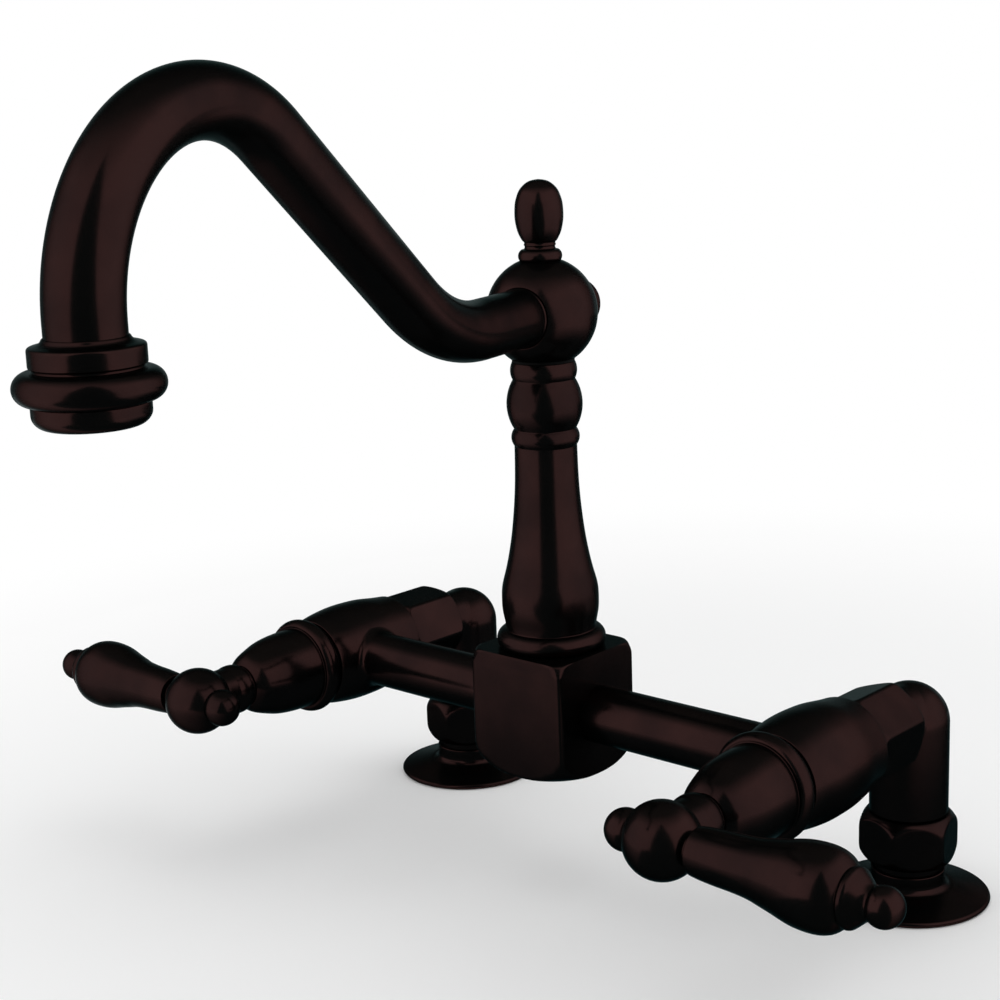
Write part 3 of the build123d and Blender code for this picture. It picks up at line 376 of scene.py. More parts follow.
block = {"half": 19.8, "cornerRound": 1.6, "topRadius": 25.7, "shoulderDrop": 5.0, "widest": 28.2,
         "domeHeight": 12.4, "domeMiddle": (24.28, 3.34), "footRadius": 15.0, "height": 43.0, "soft": 1.0,
         "rimSoft": 1.2, "roundWithin": 0.6, "wear": 0.5}


def smallerOf(first, second, blendWidth):
    # the smaller of the two, and where they differ by less than the blend width a mix of both, less the width
    # times the mix's two shares, which rounds the crease
    h = np.clip(0.5 + 0.5 * (second - first) / blendWidth, 0, 1)
    return second * (1 - h) + first * h - blendWidth * h * (1 - h)


def anglesRound(corners, cornerFrom, flatTo, cornerPoints, flatPoints):
    # angles round a prism, and how far each is from the middle of its flat; they lie close together near the
    # corners and wide apart on the flats
    half = 180 / corners
    flat = np.concatenate([np.linspace(-half, -cornerFrom, cornerPoints),
                           np.linspace(-flatTo, flatTo, flatPoints),
                           np.linspace(cornerFrom, half, cornerPoints)[:-1]])
    angle = np.radians(np.concatenate([flat + 2 * half * k for k in range(corners)]))
    half = math.radians(half)
    return angle, (angle + half) % (2 * half) - half


def makeBlock(look):
    # radius at each angle and height is the smaller of a square's and a turned, domed outline's
    top = look["height"]
    profile, wear = outline((0, 0), [(look["footRadius"], 0)],
                            [look["domeMiddle"], (look["widest"], look["domeHeight"])],
                            [(look["widest"], top - look["shoulderDrop"])],
                            [(look["topRadius"], top)], [(0, top)], soft=look["rimSoft"])
    angle, local = anglesRound(corners=4, cornerFrom=38, flatTo=36, cornerPoints=15, flatPoints=25)
    square = look["half"] / np.cos(local)
    corner = look["half"] * math.sqrt(2) - look["cornerRound"] * (math.sqrt(2) - 1)
    square = smallerOf(square, np.full_like(square, corner), look["cornerRound"] / 2)
    radius = smallerOf(square[None, :], profile[:, 0, None], look["soft"])
    radius = np.where(profile[:, 0, None] < look["roundWithin"] * look["half"], profile[:, 0, None], radius)
    grid = np.stack([radius * np.cos(angle), radius * np.sin(angle),
                     np.broadcast_to(profile[:, 1, None], radius.shape)], -1) * mm
    grid += np.array([columnLine[0], columnLine[1], blockTop - top * mm])
    return surface("centreBlock", grid, wear * look["wear"], False, True, sharp=60.0)


place(makeBlock(block), "bridge", "centre_block", bronze)
print("block made")


# outlines are (distance along the axis, radius) in mm; this one starts at the spigot under the foot
columnOutline = outline(
    (-12.0, 6.5), [(-12.0, 8.9)], [(0.0, 8.9)], [(0.0, 17.2)],
    [(3.2, 18.5), (6.4, 15.3)],
    [(8.2, 15.5), (12.3, 16.25), (16.5, 16.45), (20.8, 16.2), (24.9, 15.2), (29.1, 14.15),
     (33.3, 13.3), (37.4, 12.6), (44.0, 11.75), (54.5, 10.85), (62.8, 10.55), (69.3, 10.45)],
    [(72.1, 11.4), (74.9, 10.35)],
    [(83.15, 12.65), (91.4, 10.35)],
    [(94.4, 11.1), (97.4, 10.35)],
    [(97.4, 7.95)], [(117.8, 7.95)], [(117.8, 5.0)], [(91.0, 5.0)], [(75.0, 6.5)],
    closed=True, soft=0.3)
columnBase = np.array([columnLine[0], columnLine[1], blockTop])
place(turned("columnTurning", columnOutline, columnBase, up, across), "bridge", "column", bronze)
print("column made")


ball = {"radius": 18.4, "footRadius": 10.6, "mouth": 9.9, "mouthDepth": 1.2, "tubeHole": 9.6,
        "tubeSeat": 12.0, "chamberBack": 11.0, "chamberRadius": 8.0, "chamberTaper": -2.0, "plugHole": 4.6,
        "finialSeat": 6.9, "plugSeat": 7.6, "soft": 0.3}
ballCentre = np.array([columnLine[0], columnLine[1],
                       ballFoot + mm * math.sqrt(ball["radius"]**2 - ball["footRadius"]**2)])


def makeBall(look):
    # a ball turned round the spout's line, with a grooved mouth for the tube, a flat for the plug, and
    # its poles cut flat where the column and the finial meet it
    big, hole = look["radius"], look["plugHole"]
    mouthAt = math.sqrt(big**2 - look["mouth"]**2)
    plugAt = math.sqrt(big**2 - look["plugSeat"]**2)
    profile = outline((look["tubeSeat"], look["tubeHole"]),
                      [(mouthAt - look["mouthDepth"], look["tubeHole"])], [(mouthAt, look["mouth"])],
                      [(0.0, big), (-plugAt, look["plugSeat"])],
                      [(-plugAt, hole)], [(-look["chamberBack"], hole)],
                      [(look["chamberTaper"], look["chamberRadius"])],
                      [(look["tubeSeat"], look["chamberRadius"])], closed=True, soft=look["soft"])
    piece = turned("spoutBall", profile, ballCentre, spoutHeading, spoutSide, segments=192)
    top = ballCentre[2] + mm * math.sqrt(big**2 - look["finialSeat"]**2)
    vertices = piece.data.vertices
    places = np.empty(3 * len(vertices), np.float32)
    vertices.foreach_get("co", places)
    places[2::3] = np.clip(places[2::3], ballFoot, top)
    vertices.foreach_set("co", places)
    piece.data.update()
    return piece


place(makeBall(ball), "spout", "spout_ball", bronze)

finialSeat = ballCentre + up * mm * math.sqrt(ball["radius"]**2 - ball["finialSeat"]**2)
# measured upwards from the finial's seat on the ball
finialOutline = outline(
    (-6.5, 0.0), [(-6.5, 3.9)], [(0.0, 3.9)], [(0.0, 6.7)],
    [(1.8, 7.2), (3.7, 6.0)],
    [(4.7, 5.0), (5.2, 5.35)],
    [(5.9, 5.1), (6.4, 5.6)],
    [(8.0, 6.5), (9.6, 7.15), (11.2, 7.55), (13.4, 7.9), (15.6, 7.95), (17.6, 7.85),
     (19.3, 7.6), (20.9, 7.1), (22.5, 6.45), (24.1, 5.2), (25.5, 3.3), (26.2, 0.0)],
    soft=0.25)
place(turned("finialTurning", finialOutline, finialSeat, up, across, closed=False),
      "spout", "finial", bronze)

plugAt = math.sqrt(ball["radius"]**2 - ball["plugSeat"]**2)
# measured from the ball's centre, away from the spout
plugOutline = outline(
    (7.2, 0.0), [(7.2, 1.6)], [(12.0, 1.6)], [(12.0, 4.5)], [(plugAt, 4.5)], [(plugAt, ball["plugSeat"])],
    [(21.5, 7.7)], [(26.6, 8.7)], [(30.2, 6.2), (31.6, 0.0)],
    soft=0.9)
place(turned("ballPlug", plugOutline, ballCentre, -spoutHeading, spoutSide, closed=False),
      "spout", "ball_plug", bronze)
print("ball, finial and plug made")


tube = {"radius": 9.5, "bore": 8.0, "start": 12.0, "heelStart": 42.4, "heelRadius": 68.8, "rise": 37.3,
        "archRadius": 47.1, "drop": 11.7, "step": 1.2,
        "rimAt": 15.9, "rimWidth": 0.8, "rimHeight": 0.22, "pastRim": 3.0, "rimPoints": 40}


def tubeLine(look):
    # distance out, height above the ball and slope, along a straight, the heel's arc, a rising straight, the
    # arch's arc and a straight down; points are close together near the rim
    step, heel, arch = look["step"], look["heelRadius"], look["archRadius"]
    rise = math.radians(look["rise"])
    reach = spoutReach / mm
    heelX = look["heelStart"] + heel * math.sin(rise)
    heelZ = heel * (1 - math.cos(rise))
    archX = reach - arch
    riseX = archX - arch * math.sin(rise)
    riseZ = heelZ + (riseX - heelX) * math.tan(rise)
    archZ = riseZ - arch * math.cos(rise)
    nearRim = np.linspace(look["start"], look["rimAt"] + look["pastRim"], look["rimPoints"])
    out = np.concatenate([nearRim, np.arange(nearRim[-1] + step, look["heelStart"], step)])
    heelTurn = np.linspace(0, rise, int(heel * rise / step))
    share = np.linspace(0, 1, int((riseX - heelX) / step))[1:-1]
    archTurn = np.linspace(rise, -math.pi / 2, int(arch * (rise + math.pi / 2) / step))
    down = np.arange(step, look["drop"], step)
    return np.vstack([
        np.stack([out, 0 * out, 0 * out], 1),
        np.stack([look["heelStart"] + heel * np.sin(heelTurn), heel * (1 - np.cos(heelTurn)), heelTurn], 1),
        np.stack([heelX + share * (riseX - heelX), heelZ + share * (riseZ - heelZ), rise + 0 * share], 1),
        np.stack([archX - arch * np.sin(archTurn), archZ + arch * np.cos(archTurn), archTurn], 1),
        np.stack([reach + 0 * down, archZ - down, -math.pi / 2 + 0 * down], 1)])


def makeTube(look, segments=96):
    # a circle carried along the line, square to it, and a smaller one carried back as the bore; the rim adds
    # its height times e to the minus fourth power of the distance from it over half its width
    line = tubeLine(look)
    rim = np.exp(-((line[:, 0] - look["rimAt"]) / (look["rimWidth"] / 2))**4)
    radii = np.concatenate([look["radius"] + look["rimHeight"] * rim, np.full(len(line), look["bore"])])
    wear = np.concatenate([rim, 0 * rim])
    line = np.vstack([line, line[::-1]])
    a = np.linspace(0, 2 * math.pi, segments, endpoint=False)
    centres = ballCentre + mm * (line[:, 0, None] * spoutHeading + line[:, 1, None] * up)
    normal = -np.sin(line[:, 2])[:, None] * spoutHeading + np.cos(line[:, 2])[:, None] * up
    circle = np.cos(a)[None, :, None] * spoutSide + np.sin(a)[None, :, None] * normal[:, None, :]
    grid = centres[:, None, :] + mm * radii[:, None, None] * circle
    return surface("spoutTube", grid, wear, True, True)


place(makeTube(tube), "spout", "spout_tube", bronze)
print("spout tube made")


mouthHeight = boxOf("aerator_housing")[0][2]
outletFoot = np.array([tubeEnd[0], tubeEnd[1], mouthHeight])
# measured upwards from the outlet's mouth, as the housing's is
ferruleOutline = outline(
    (5.6, 11.6), [(5.6, 14.2)], [(9.3, 17.4), (13.0, 13.8)], [(13.0, 12.6)], [(13.9, 12.6)], [(13.9, 13.4)],
    [(18.4, 13.4)], [(19.0, 10.9)],
    [(19.6, 10.2), (20.3, 9.85), (20.6, 9.6)], [(11.8, 9.6)], [(11.8, 11.6)],
    closed=True, soft=0.7)
place(turned("outletFerrule", ferruleOutline, outletFoot, up, spoutSide), "spout", "outlet_ferrule", bronze)
housingOutline = outline(
    (0.0, 8.8), [(0.0, 10.2)], [(1.0, 12.6), (2.8, 13.6)], [(5.6, 13.6)], [(5.6, 11.5)], [(10.8, 11.5)],
    [(10.8, 9.8)], [(1.8, 9.8)], [(1.8, 8.8)],
    closed=True, soft=0.5)
place(turned("aeratorShell", housingOutline, outletFoot, up, spoutSide), "spout", "aerator_housing", bronze)
print("outlet made")


# along a valve's axis, measured from the bridge pipes' line and growing towards the back
barrelOutside = [(-18.0, 15.5), (-16.0, 16.2), (-12.0, 17.05), (-8.0, 17.6), (-2.0, 18.05),
                 (4.0, 18.0), (8.7, 17.75), (12.5, 17.25), (16.4, 16.65), (22.2, 15.95)]
barrelOutline = outline(
    (-26.0, 12.5), [(-26.0, 14.3)], [(-18.0, 14.3)], [barrelOutside[0]], barrelOutside[1:],
    [(22.9, 14.4)], [(23.0, 11.7)], [(38.0, 11.7)], [(38.0, 8.0)], [(12.0, 8.0)], [(12.0, 4.5)],
    [(8.0, 4.5)], [(8.0, 12.5)],
    closed=True, soft=0.35)
bonnetOutline = outline(
    (-53.9, 4.7), [(-53.9, 7.0)], [(-52.6, 7.0)], [(-52.6, 7.6)],
    [(-50.4, 9.85), (-48.2, 11.1), (-45.2, 12.2), (-41.4, 13.4), (-37.4, 14.15), (-33.0, 14.55),
     (-25.8, 14.7)],
    [(-25.8, 15.7)], [(-22.7, 17.3), (-19.6, 15.7)], [(-19.6, 14.6)], [(-18.0, 14.6)],
    [(-18.0, 14.4)], [(-26.5, 14.4)], [(-26.5, 11.4)], [(-31.0, 11.4)], [(-36.0, 8.4)],
    [(-46.0, 8.4)], [(-46.0, 4.7)],
    closed=True, soft=0.35)
hubOutline = outline(
    (-84.4, 0.0), [(-72.8, 11.6), (-64.7, 8.3)], [(-60.0, 8.3)], [(-56.6, 8.8), (-54.3, 8.3)],
    [(-54.3, 4.4)], [(-58.0, 4.4)], [(-58.0, 0.0)],
    soft=0.3)
# along a lever's axis, measured from the hub's middle and growing outwards
leverOutline = outline(
    (10.3, 0.0), [(10.3, 5.1)], [(12.2, 5.1)], [(12.2, 7.05)],
    [(14.3, 7.35), (17.0, 7.6), (20.0, 7.8), (25.0, 8.0), (30.0, 8.35), (33.0, 8.75), (35.5, 9.3),
     (38.3, 9.9), (41.0, 10.5), (43.6, 11.15), (46.2, 11.7), (48.8, 12.0), (51.2, 12.1),
     (53.6, 12.0), (56.0, 11.55), (58.0, 10.7), (59.8, 9.2)],
    [(60.9, 7.9)], [(62.2, 8.5), (63.5, 7.9)], [(65.8, 5.9), (66.8, 5.1), (68.0, 4.7)],
    [(71.2, 5.7), (76.58, 0.0)],
    soft=0.3)
smallBallOutline = outline((-10.05, 0.0), [(-10.05, 5.8)], [(-12.8, 6.4), (-19.2, 0.0)], soft=0.25)
# a leg as (radius, height above the deck), and a flange as (height above the deck, radius)
legOutline = outline(
    (8.0, 23.0), [(11.7, 23.0)], [(11.7, 26.6)], [(10.4, 26.6)], [(10.4, 31.0)], [(13.1, 31.0)],
    [(13.1, 62.4)], [(9.26, 71.66), (0.0, 75.5)],
    soft=0.5)
flangeOutline = outline(
    (10.8, 11.4), [(10.8, 12.4)], [(6.6, 12.4)], [(5.3, 13.1), (4.6, 15.2)], [(2.0, 26.2)],
    [(1.0, 27.3), (0.0, 26.2)], [(0.0, 24.0)], [(1.4, 24.0)], [(1.4, 11.4)],
    closed=True, soft=0.5)

# turns are in degrees about the nut's own axis, as each nut stands in the photograph
nuts = {
    "union": {"corner": 15.3, "end": 13.0, "length": 25.5, "round": 3.4, "bore": 11.8, "lipBore": 9.9,
              "lip": 4.8, "start": 23.4, "turns": {"left": -24.5, "right": -48.0}},
    "coupling": {"corner": 16.9, "end": 13.6, "length": 17.0, "round": 7.4, "bore": 11.8, "lipBore": 10.5,
                 "lip": 4.0, "start": 13.6, "turns": {"left": 12.0, "right": 12.0}},
}
nutEdges = {"cornerCut": 0.25, "cornerSoft": 0.3, "endSoft": 0.5, "roundWithin": 0.7, "rimSoft": 0.4,
            "wear": 0.6}


def makeNut(name, look, centre, axis, side, hand):
    # radius is the smaller of a hexagon's and a turned outline's, whose ends are rounded off
    flat = look["corner"] * math.cos(math.pi / 6)
    long, deep, corner, end = look["length"], look["round"], look["corner"], look["end"]
    belly = (2 * corner + end) / 3
    profile, wear = outline((0, look["bore"]), [(0, end)], [(deep / 3, belly), (deep, corner)],
                            [(long - deep, corner)], [(long - deep / 3, belly), (long, end)],
                            [(long, look["lipBore"])], [(long - look["lip"], look["lipBore"])],
                            [(long - look["lip"], look["bore"])], closed=True, soft=nutEdges["rimSoft"])
    angle, local = anglesRound(corners=6, cornerFrom=26, flatTo=24, cornerPoints=10, flatPoints=13)
    cut = np.full_like(local, corner - nutEdges["cornerCut"])
    hexagon = smallerOf(flat / np.cos(local), cut, nutEdges["cornerSoft"])
    radius = smallerOf(profile[:, 1, None], hexagon[None, :], nutEdges["endSoft"])
    radius = np.where(profile[:, 1, None] < end - nutEdges["roundWithin"], profile[:, 1, None], radius)
    angle = angle + math.radians(look["turns"][hand])
    third = np.cross(axis, side)
    ring = np.cos(angle)[None, :, None] * side + np.sin(angle)[None, :, None] * third
    grid = centre + mm * ((profile[:, 0, None, None] + look["start"]) * axis + radius[:, :, None] * ring)
    return surface(name, grid, wear * nutEdges["wear"], True, True, sharp=50.0)


def barrelRadius(y):
    # in proportion between the barrel's outline points
    xs, rs = zip(*barrelOutside)
    return np.interp(y, xs, rs)


# leastRoot keeps a root real beyond the edge of the barrel or the leg
pipe = {"radius": 9.8, "fillet": 2.6, "sunk": 0.4, "intoBlock": 1.0, "segments": 128, "curvePoints": 12,
        "linePoints": 39, "leastRoot": 1.0}


def makePipe(name, look, sign, valveX):
    # the pipe's side ends in a curve that leaves it and lands on the barrel: at each angle a quadratic
    # curve from the pipe, over the corner where it meets the barrel, to a point on the barrel
    a = np.linspace(0, 2 * math.pi, look["segments"], endpoint=False)
    r, f = look["radius"], look["fillet"]
    sideways, upwards = np.cos(a), np.sin(a)

    def onBarrel(radius):
        # the barrel's surface over a circle of that radius: its own radius squared less the height squared
        z = radius * upwards
        return valveX - np.sqrt(np.maximum(barrelRadius(radius * sideways)**2 - z**2, look["leastRoot"]))

    corner = onBarrel(np.full_like(a, r))
    landing = onBarrel(np.full_like(a, r + f))
    t = np.linspace(0, 1, look["curvePoints"])[:, None]
    curve = (1 - t)**2 * (corner - f) + 2 * t * (1 - t) * corner + t**2 * landing
    start = block["half"] - look["intoBlock"]
    share = np.linspace(0, 1, look["linePoints"], endpoint=False)[:, None]
    last = landing + look["sunk"]
    x = np.vstack([np.full_like(a, start), start * (1 - share) + (corner - f) * share, curve, last,
                   np.full_like(a, last.mean())])
    radius = np.vstack([0.0, np.full((len(share), 1), r), r + f * t**2, r + f - look["sunk"], 0.0])
    radius = np.broadcast_to(radius, x.shape)
    centre = np.array([0.0, columnLine[1], bridgeHeight])
    grid = centre + mm * (sign * x[:, :, None] * across + (radius * sideways)[:, :, None] * back
                          + (radius * upwards)[:, :, None] * up)
    return surface(name, grid, np.zeros(len(x)), False, True, sharp=70.0)


tail = {"radius": 9.8, "start": 40.0, "fillet": 2.2, "leg": 13.1, "crown": 62.4, "setback": 63.3, "sunk": 0.4,
        "intoLeg": 2.0, "segments": 128, "curvePoints": 12, "linePoints": 15, "leastRoot": 0.01,
        "leastRoom": 0.02}


def makeTail(name, look, legCentre):
    # the elbow's tail runs back along the valve's axis and curves out onto the leg, as the pipe does
    a = np.linspace(0, 2 * math.pi, look["segments"], endpoint=False)
    r, f, big = look["radius"], look["fillet"], look["leg"]
    sideways, upwards = np.cos(a), np.sin(a)
    drop = bridgeHeight / mm - look["crown"]

    def onLeg(radius):
        # the leg's surface over a circle of that radius: a cylinder, and a ball above its crown
        x, z = radius * sideways, np.maximum(radius * upwards + drop, 0)
        return -np.sqrt(np.maximum(big**2 - x**2 - z**2, look["leastRoot"]))

    corner = onLeg(np.full_like(a, r))
    landing = onLeg(np.full_like(a, r + f))
    t = np.linspace(0, 1, look["curvePoints"])[:, None]
    curve = (1 - t)**2 * (corner - f) + 2 * t * (1 - t) * corner + t**2 * landing
    reached = np.hypot(r * sideways, np.maximum(r * upwards + drop, 0))
    spreading = r + np.minimum(f, np.maximum(big - reached, look["leastRoom"])) * t**2
    start = look["start"] - look["setback"]
    share = np.linspace(0, 1, look["linePoints"], endpoint=False)[:, None]
    y = np.vstack([np.full_like(a, start), start * (1 - share) + (corner - f) * share, curve,
                   landing + look["sunk"], np.full_like(a, -look["intoLeg"])])
    radius = np.vstack([0 * a, np.full((len(share), len(a)), r), spreading, spreading[-1] - look["sunk"],
                        0 * a])
    centre = np.array([legCentre[0], legCentre[1], bridgeHeight])
    grid = centre + mm * (y[:, :, None] * back + (radius * sideways)[:, :, None] * across
                          + (radius * upwards)[:, :, None] * up)
    return surface(name, grid, np.zeros(len(y)), False, True, sharp=70.0)


def flipped(profile):
    # swaps radius and distance, for outlines written as (radius, height)
    points, wear = profile
    return points[:, ::-1], wear


for name, sign in sides.items():
    title = name.capitalize()
    valveX = abs(middleOf(f"valve_barrel_{name}")[0]) / mm
    valveCentre = np.array([sign * valveX * mm, columnLine[1], bridgeHeight])
    legCentre = middleOf(f"flange_{name}") * np.array([1, 1, 0])
    hubCentre = np.array([valveCentre[0], middleOf(f"handle_lever_{name}")[1], bridgeHeight])
    outward = sign * across
    handle = f"handle_{name}"
    place(turned(f"valveBarrel{title}", barrelOutline, valveCentre, back, across, segments=192),
          "bridge", f"valve_barrel_{name}", bronze)
    place(turned(f"valveBonnet{title}", bonnetOutline, valveCentre, back, across, segments=192),
          "bridge", f"valve_bonnet_{name}", bronze)
    place(makePipe(f"bridgePipe{title}", pipe, sign, valveX), "bridge", f"bridge_pipe_{name}", bronze)
    place(turned(f"handleHub{title}", hubOutline, valveCentre, back, across, closed=False),
          handle, f"handle_hub_{name}", bronze)
    place(turned(f"handleLever{title}", leverOutline, hubCentre, outward, up, closed=False),
          handle, f"handle_lever_{name}", bronze)
    place(turned(f"handleBall{title}", smallBallOutline, hubCentre, outward, up, closed=False),
          handle, f"handle_ball_screw_{name}", bronze)
    place(makeNut(f"unionNut{title}", nuts["union"], valveCentre, back, across, name),
          "bridge", f"union_nut_{name}", bronze)
    place(turned(f"elbowLeg{title}", flipped(legOutline), legCentre, up, across, closed=False),
          "bridge", f"elbow_{name}", bronze)
    place(makeTail(f"elbowTail{title}", tail, legCentre), "bridge", f"elbow_{name}", bronze)
    place(makeNut(f"couplingNut{title}", nuts["coupling"], legCentre, up, across, name),
          "bridge", f"coupling_nut_{name}", bronze)
    place(turned(f"deckFlange{title}", flangeOutline, legCentre, up, across, segments=192),
          "bridge", f"flange_{name}", bronze)
    print("valve and leg made:", name)


# in metres and radians, as fitted to the photograph, with the sensor's width in mm
camera = {"eye": (0.405175, -0.529637, 0.276483), "yaw": 0.74109, "pitch": 0.22168, "roll": -0.0357,
          "focalPixels": 1888.24, "imagePixels": 1000, "sensor": 36.0, "clipEnd": 50.0}


def makeCamera(look):
    # looks along +Y, turned towards -X by yaw and down by pitch, and leans by roll; the lens follows from the
    # focal length in pixels as the sensor does from the picture's width
    cosYaw, sinYaw = math.cos(look["yaw"]), math.sin(look["yaw"])
    cosPitch, sinPitch = math.cos(look["pitch"]), math.sin(look["pitch"])
    forward = Vector((-sinYaw * cosPitch, cosYaw * cosPitch, -sinPitch))
    right = Vector((cosYaw, sinYaw, 0))
    upward = right.cross(forward)
    leanRight = math.cos(look["roll"]) * right + math.sin(look["roll"]) * upward
    leanUp = -math.sin(look["roll"]) * right + math.cos(look["roll"]) * upward
    data = bpy.data.cameras.new("photoCamera")
    data.sensor_width = look["sensor"]
    data.lens = look["focalPixels"] * look["sensor"] / look["imagePixels"]
    data.clip_end = look["clipEnd"]
    eye = bpy.data.objects.new("photoCamera", data)
    turn = Matrix((leanRight, leanUp, -forward)).transposed().to_4x4()
    eye.matrix_world = Matrix.Translation(look["eye"]) @ turn
    bpy.context.scene.collection.objects.link(eye)
    bpy.context.scene.camera = eye
    return forward, right


viewForward, viewRight = makeCamera(camera)

floorLook = {"radius": 6.0, "colour": (0.93, 0.93, 0.93), "roughness": 0.9, "gloss": 0.1, "segments": 96,
             "whiteFrom": 0.22, "whiteTo": 0.55}
white = (1, 1, 1, 1)


def seenDirectly(nodes, links):
    # the largest of three tests: 1 for camera, mirror and see-through rays, which show the background, else 0
    path = nodes.new("ShaderNodeLightPath")
    total = path.outputs["Is Camera Ray"]
    for ray in ("Is Glossy Ray", "Is Transmission Ray"):
        add = nodes.new("ShaderNodeMath")
        add.operation = "MAXIMUM"
        links.new(total, add.inputs[0])
        links.new(path.outputs[ray], add.inputs[1])
        total = add.outputs[0]
    return total


def disc(radius, segments):
    # points round a circle at the floor's height: the radius times the cosine and sine of each angle
    a = np.linspace(0, 2 * math.pi, segments, endpoint=False)
    return radius * np.stack([np.cos(a), np.sin(a), 0 * a], 1)


def makeFloor(look):
    # a round pale floor, which turns into the white of the background away from the object
    mesh = bpy.data.meshes.new("floor")
    mesh.from_pydata(disc(look["radius"], look["segments"]).tolist(), [], [list(range(look["segments"]))])
    floor = bpy.data.objects.new("floor", mesh)
    bpy.context.scene.collection.objects.link(floor)
    material = bpy.data.materials.new("paleFloor")
    material.use_nodes = True
    nodes, links = material.node_tree.nodes, material.node_tree.links
    shader = nodes["Principled BSDF"]
    shader.inputs["Base Color"].default_value = (*look["colour"], 1)
    shader.inputs["Roughness"].default_value = look["roughness"]
    shader.inputs["Specular IOR Level"].default_value = look["gloss"]
    coordinates = nodes.new("ShaderNodeTexCoord")
    away = nodes.new("ShaderNodeVectorMath")
    away.operation = "LENGTH"
    links.new(coordinates.outputs["Object"], away.inputs[0])
    fade = nodes.new("ShaderNodeMapRange")
    fade.interpolation_type = "SMOOTHSTEP"
    fade.inputs["From Min"].default_value = look["whiteFrom"]
    fade.inputs["From Max"].default_value = look["whiteTo"]
    links.new(away.outputs["Value"], fade.inputs["Value"])
    share = nodes.new("ShaderNodeMath")
    share.operation = "MULTIPLY"
    links.new(fade.outputs["Result"], share.inputs[0])
    links.new(seenDirectly(nodes, links), share.inputs[1])
    glow = nodes.new("ShaderNodeEmission")
    glow.inputs["Color"].default_value = white
    blend = nodes.new("ShaderNodeMixShader")
    links.new(share.outputs[0], blend.inputs["Fac"])
    links.new(shader.outputs["BSDF"], blend.inputs[1])
    links.new(glow.outputs["Emission"], blend.inputs[2])
    links.new(blend.outputs["Shader"], nodes["Material Output"].inputs["Surface"])
    mesh.materials.append(material)


makeFloor(floorLook)

lamps = {
    "leftBox": {"side": -1.15, "ahead": 0.0, "height": 0.55, "size": (0.8, 1.2), "power": 3.0},
    "rightBox": {"side": 1.15, "ahead": 0.0, "height": 0.5, "size": (0.8, 1.2), "power": 3.0},
    "topBox": {"side": 0.0, "ahead": -0.2, "height": 1.6, "size": (1.2, 0.8), "power": 2.0},
}
lookAt = Vector((0.03, -0.12, 0.13))  # about the middle of the object
viewFlat = Vector((viewForward.x, viewForward.y, 0)).normalized()


def makeLamps(looks):
    # each lamp stands to the camera's right and ahead of the object by its distances, and faces the object
    for name, look in looks.items():
        data = bpy.data.lights.new(name, "AREA")
        data.shape = "RECTANGLE"
        data.size, data.size_y = look["size"]
        data.energy = look["power"]
        lamp = bpy.data.objects.new(name, data)
        spot = lookAt + viewRight * look["side"] + viewFlat * look["ahead"]
        spot.z = look["height"]
        lamp.visible_glossy = False  # the metal shows the white surroundings instead
        lamp.location = spot
        lamp.rotation_mode = "QUATERNION"
        lamp.rotation_quaternion = (lookAt - spot).to_track_quat("-Z", "Y")
        bpy.context.scene.collection.objects.link(lamp)


makeLamps(lamps)

# the standing cards glow in dark colours that only mirror rays see: painted reflections on the metal
flags = {
    # corners are azimuth in degrees, distance from the column's line, and height
    "front": {"corners": [(-91.6, 0.411, 0.002), (-60.0, 0.12, 0.002), (-20.3, 0.12, 0.002),
                          (-20.3, 0.511, 0.002), (-77.8, 0.699, 0.002), (-51.1, 0.523, 1.02)],
              "faces": [(0, 1, 2, 3, 4), (4, 3, 5)], "colour": (0.05, 0.12, 0.125)},
    "backFoot": {"corners": [(84, 0.34, 0.002), (72, 0.6, 0.002), (66, 1.3, 0.002), (100, 1.5, 0.002),
                             (190, 1.5, 0.002), (185, 0.4, 0.002), (140, 0.3, 0.002)],
                 "faces": [(0, 1, 2, 3, 4, 5, 6)], "colour": (0.07, 0.12, 0.12)},
    "back": {"corners": [(98, 1.5, 0.002), (190, 1.5, 0.002), (190, 1.5, 1.2), (98, 1.5, 1.2)],
             "faces": [(0, 1, 2, 3)], "colour": (0.16, 0.2, 0.2)},
}
# the canopy's colour is a painted reflection: a glow that turns white away from its darkest point
canopyLook = {"facing": -47.5, "middle": (0.0, -0.05, 0.15), "radius": 1.1, "from": 40.0, "to": 172.0,
              "ribs": 24, "halfWidth": 1.3, "darkest": 122.0, "dark": 0.72, "clear": 1.42,
              "colour": (0.13, 0.2, 0.19)}
# the ground disc's colour is painted shade, which the metal shows in its reflections of the floor
groundLook = {"middle": (0.02, 0.02, 0.001), "dark": 0.18, "clear": 0.44, "segments": 64,
              "colour": (0.05, 0.11, 0.12)}


def makeFlag(name, corners, faces, colour, fade=None):
    # a card that glows dark and only mirror rays see, so that it takes no light off the object; its glow is a
    # painted reflection on the metal.
    # With a fade it glows white from its middle outwards
    mesh = bpy.data.meshes.new(name)
    mesh.from_pydata(corners, [], faces)
    card = bpy.data.objects.new(name, mesh)
    bpy.context.scene.collection.objects.link(card)
    card.visible_camera = False
    card.visible_diffuse = False
    card.visible_transmission = False
    card.visible_shadow = False
    material = bpy.data.materials.new(name + "Cloth")
    material.use_nodes = True
    nodes, links = material.node_tree.nodes, material.node_tree.links
    glow = nodes.new("ShaderNodeEmission")
    glow.inputs["Color"].default_value = (*colour, 1)
    links.new(glow.outputs["Emission"], nodes["Material Output"].inputs["Surface"])
    if fade:
        middle, dark, clear = fade
        coordinates = nodes.new("ShaderNodeTexCoord")
        away = nodes.new("ShaderNodeVectorMath")
        away.operation = "DISTANCE"
        away.inputs[1].default_value = middle
        links.new(coordinates.outputs["Object"], away.inputs[0])
        share = spread(nodes, links, away.outputs["Value"], 0.0, 1.0, dark, clear)
        links.new(mixed(nodes, links, share, colour, (1.0, 1.0, 1.0)), glow.inputs["Color"])
    mesh.materials.append(material)


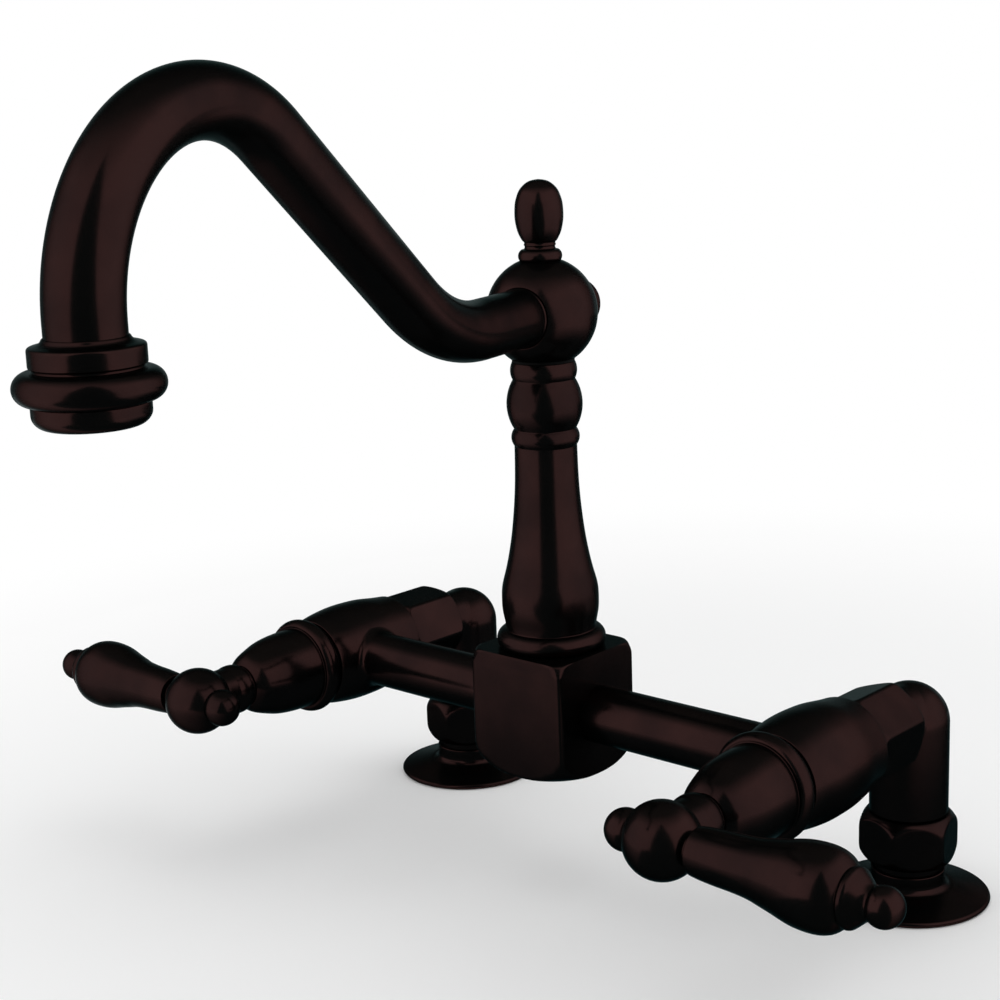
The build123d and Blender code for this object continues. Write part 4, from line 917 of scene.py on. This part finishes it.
def makeStandingFlag(name, look):
    # a card through its corners, each at the cosine and sine of its azimuth times its distance; some of
    # them lie on the floor
    azimuth, distance, height = np.array(look["corners"], float).T
    azimuth = np.radians(azimuth)
    corners = np.stack([distance * np.cos(azimuth), distance * np.sin(azimuth), height], 1)
    corners += columnLine * (1, 1, 0)
    makeFlag(name + "Flag", corners.tolist(), look["faces"], look["colour"])


def makeCanopy(look):
    # part of a round vault over the object, from in front of it, over the top, to behind it; it glows dark
    # near its darkest point and white further out, a painted reflection that only mirror rays see
    turn = math.radians(look["facing"])
    away = np.array([math.cos(turn), math.sin(turn), 0])
    along = np.cross(up, away)

    def onArch(degrees):
        # a circle in the upright plane that faces the camera
        t = np.radians(degrees)
        return np.array(look["middle"]) + look["radius"] * (np.cos(t) * away + np.sin(t) * up)

    ribs = look["ribs"]
    arch = onArch(np.linspace(look["from"], look["to"], ribs)[:, None])
    corners = np.vstack([arch - look["halfWidth"] * along, arch + look["halfWidth"] * along])
    faces = [(i, i + 1, i + ribs + 1, i + ribs) for i in range(ribs - 1)]
    makeFlag("canopyFlag", corners.tolist(), faces, look["colour"],
             (tuple(onArch(look["darkest"])), look["dark"], look["clear"]))


def makeGroundFlag(look):
    # a disc that lies on the floor under the object and glows dark in its middle, turning white outwards: a
    # painted reflection of shade under the object, seen only by mirror rays
    rim = np.array(look["middle"]) + disc(look["clear"], look["segments"])
    makeFlag("groundFlag", rim.tolist(), [list(range(look["segments"]))], look["colour"],
             (look["middle"], look["dark"], look["clear"]))


for name, look in flags.items():
    makeStandingFlag(name, look)
makeCanopy(canopyLook)
makeGroundFlag(groundLook)


worldLook = {"light": 0.8, "background": 1.0}


def makeWorld(look):
    # plain light at one strength, and white at the other where the background shows
    world = bpy.data.worlds.new("studio")
    world.use_nodes = True
    bpy.context.scene.world = world
    nodes, links = world.node_tree.nodes, world.node_tree.links
    base = nodes["Background"]
    base.inputs["Color"].default_value = white
    base.inputs["Strength"].default_value = look["light"]
    backdrop = nodes.new("ShaderNodeBackground")
    backdrop.inputs["Color"].default_value = white
    backdrop.inputs["Strength"].default_value = look["background"]
    choose = nodes.new("ShaderNodeMixShader")
    links.new(seenDirectly(nodes, links), choose.inputs["Fac"])
    links.new(base.outputs["Background"], choose.inputs[1])
    links.new(backdrop.outputs["Background"], choose.inputs[2])
    links.new(choose.outputs["Shader"], nodes["World Output"].inputs["Surface"])


makeWorld(worldLook)
bpy.context.scene.view_settings.view_transform = "Standard"
print("camera, floor and light made")
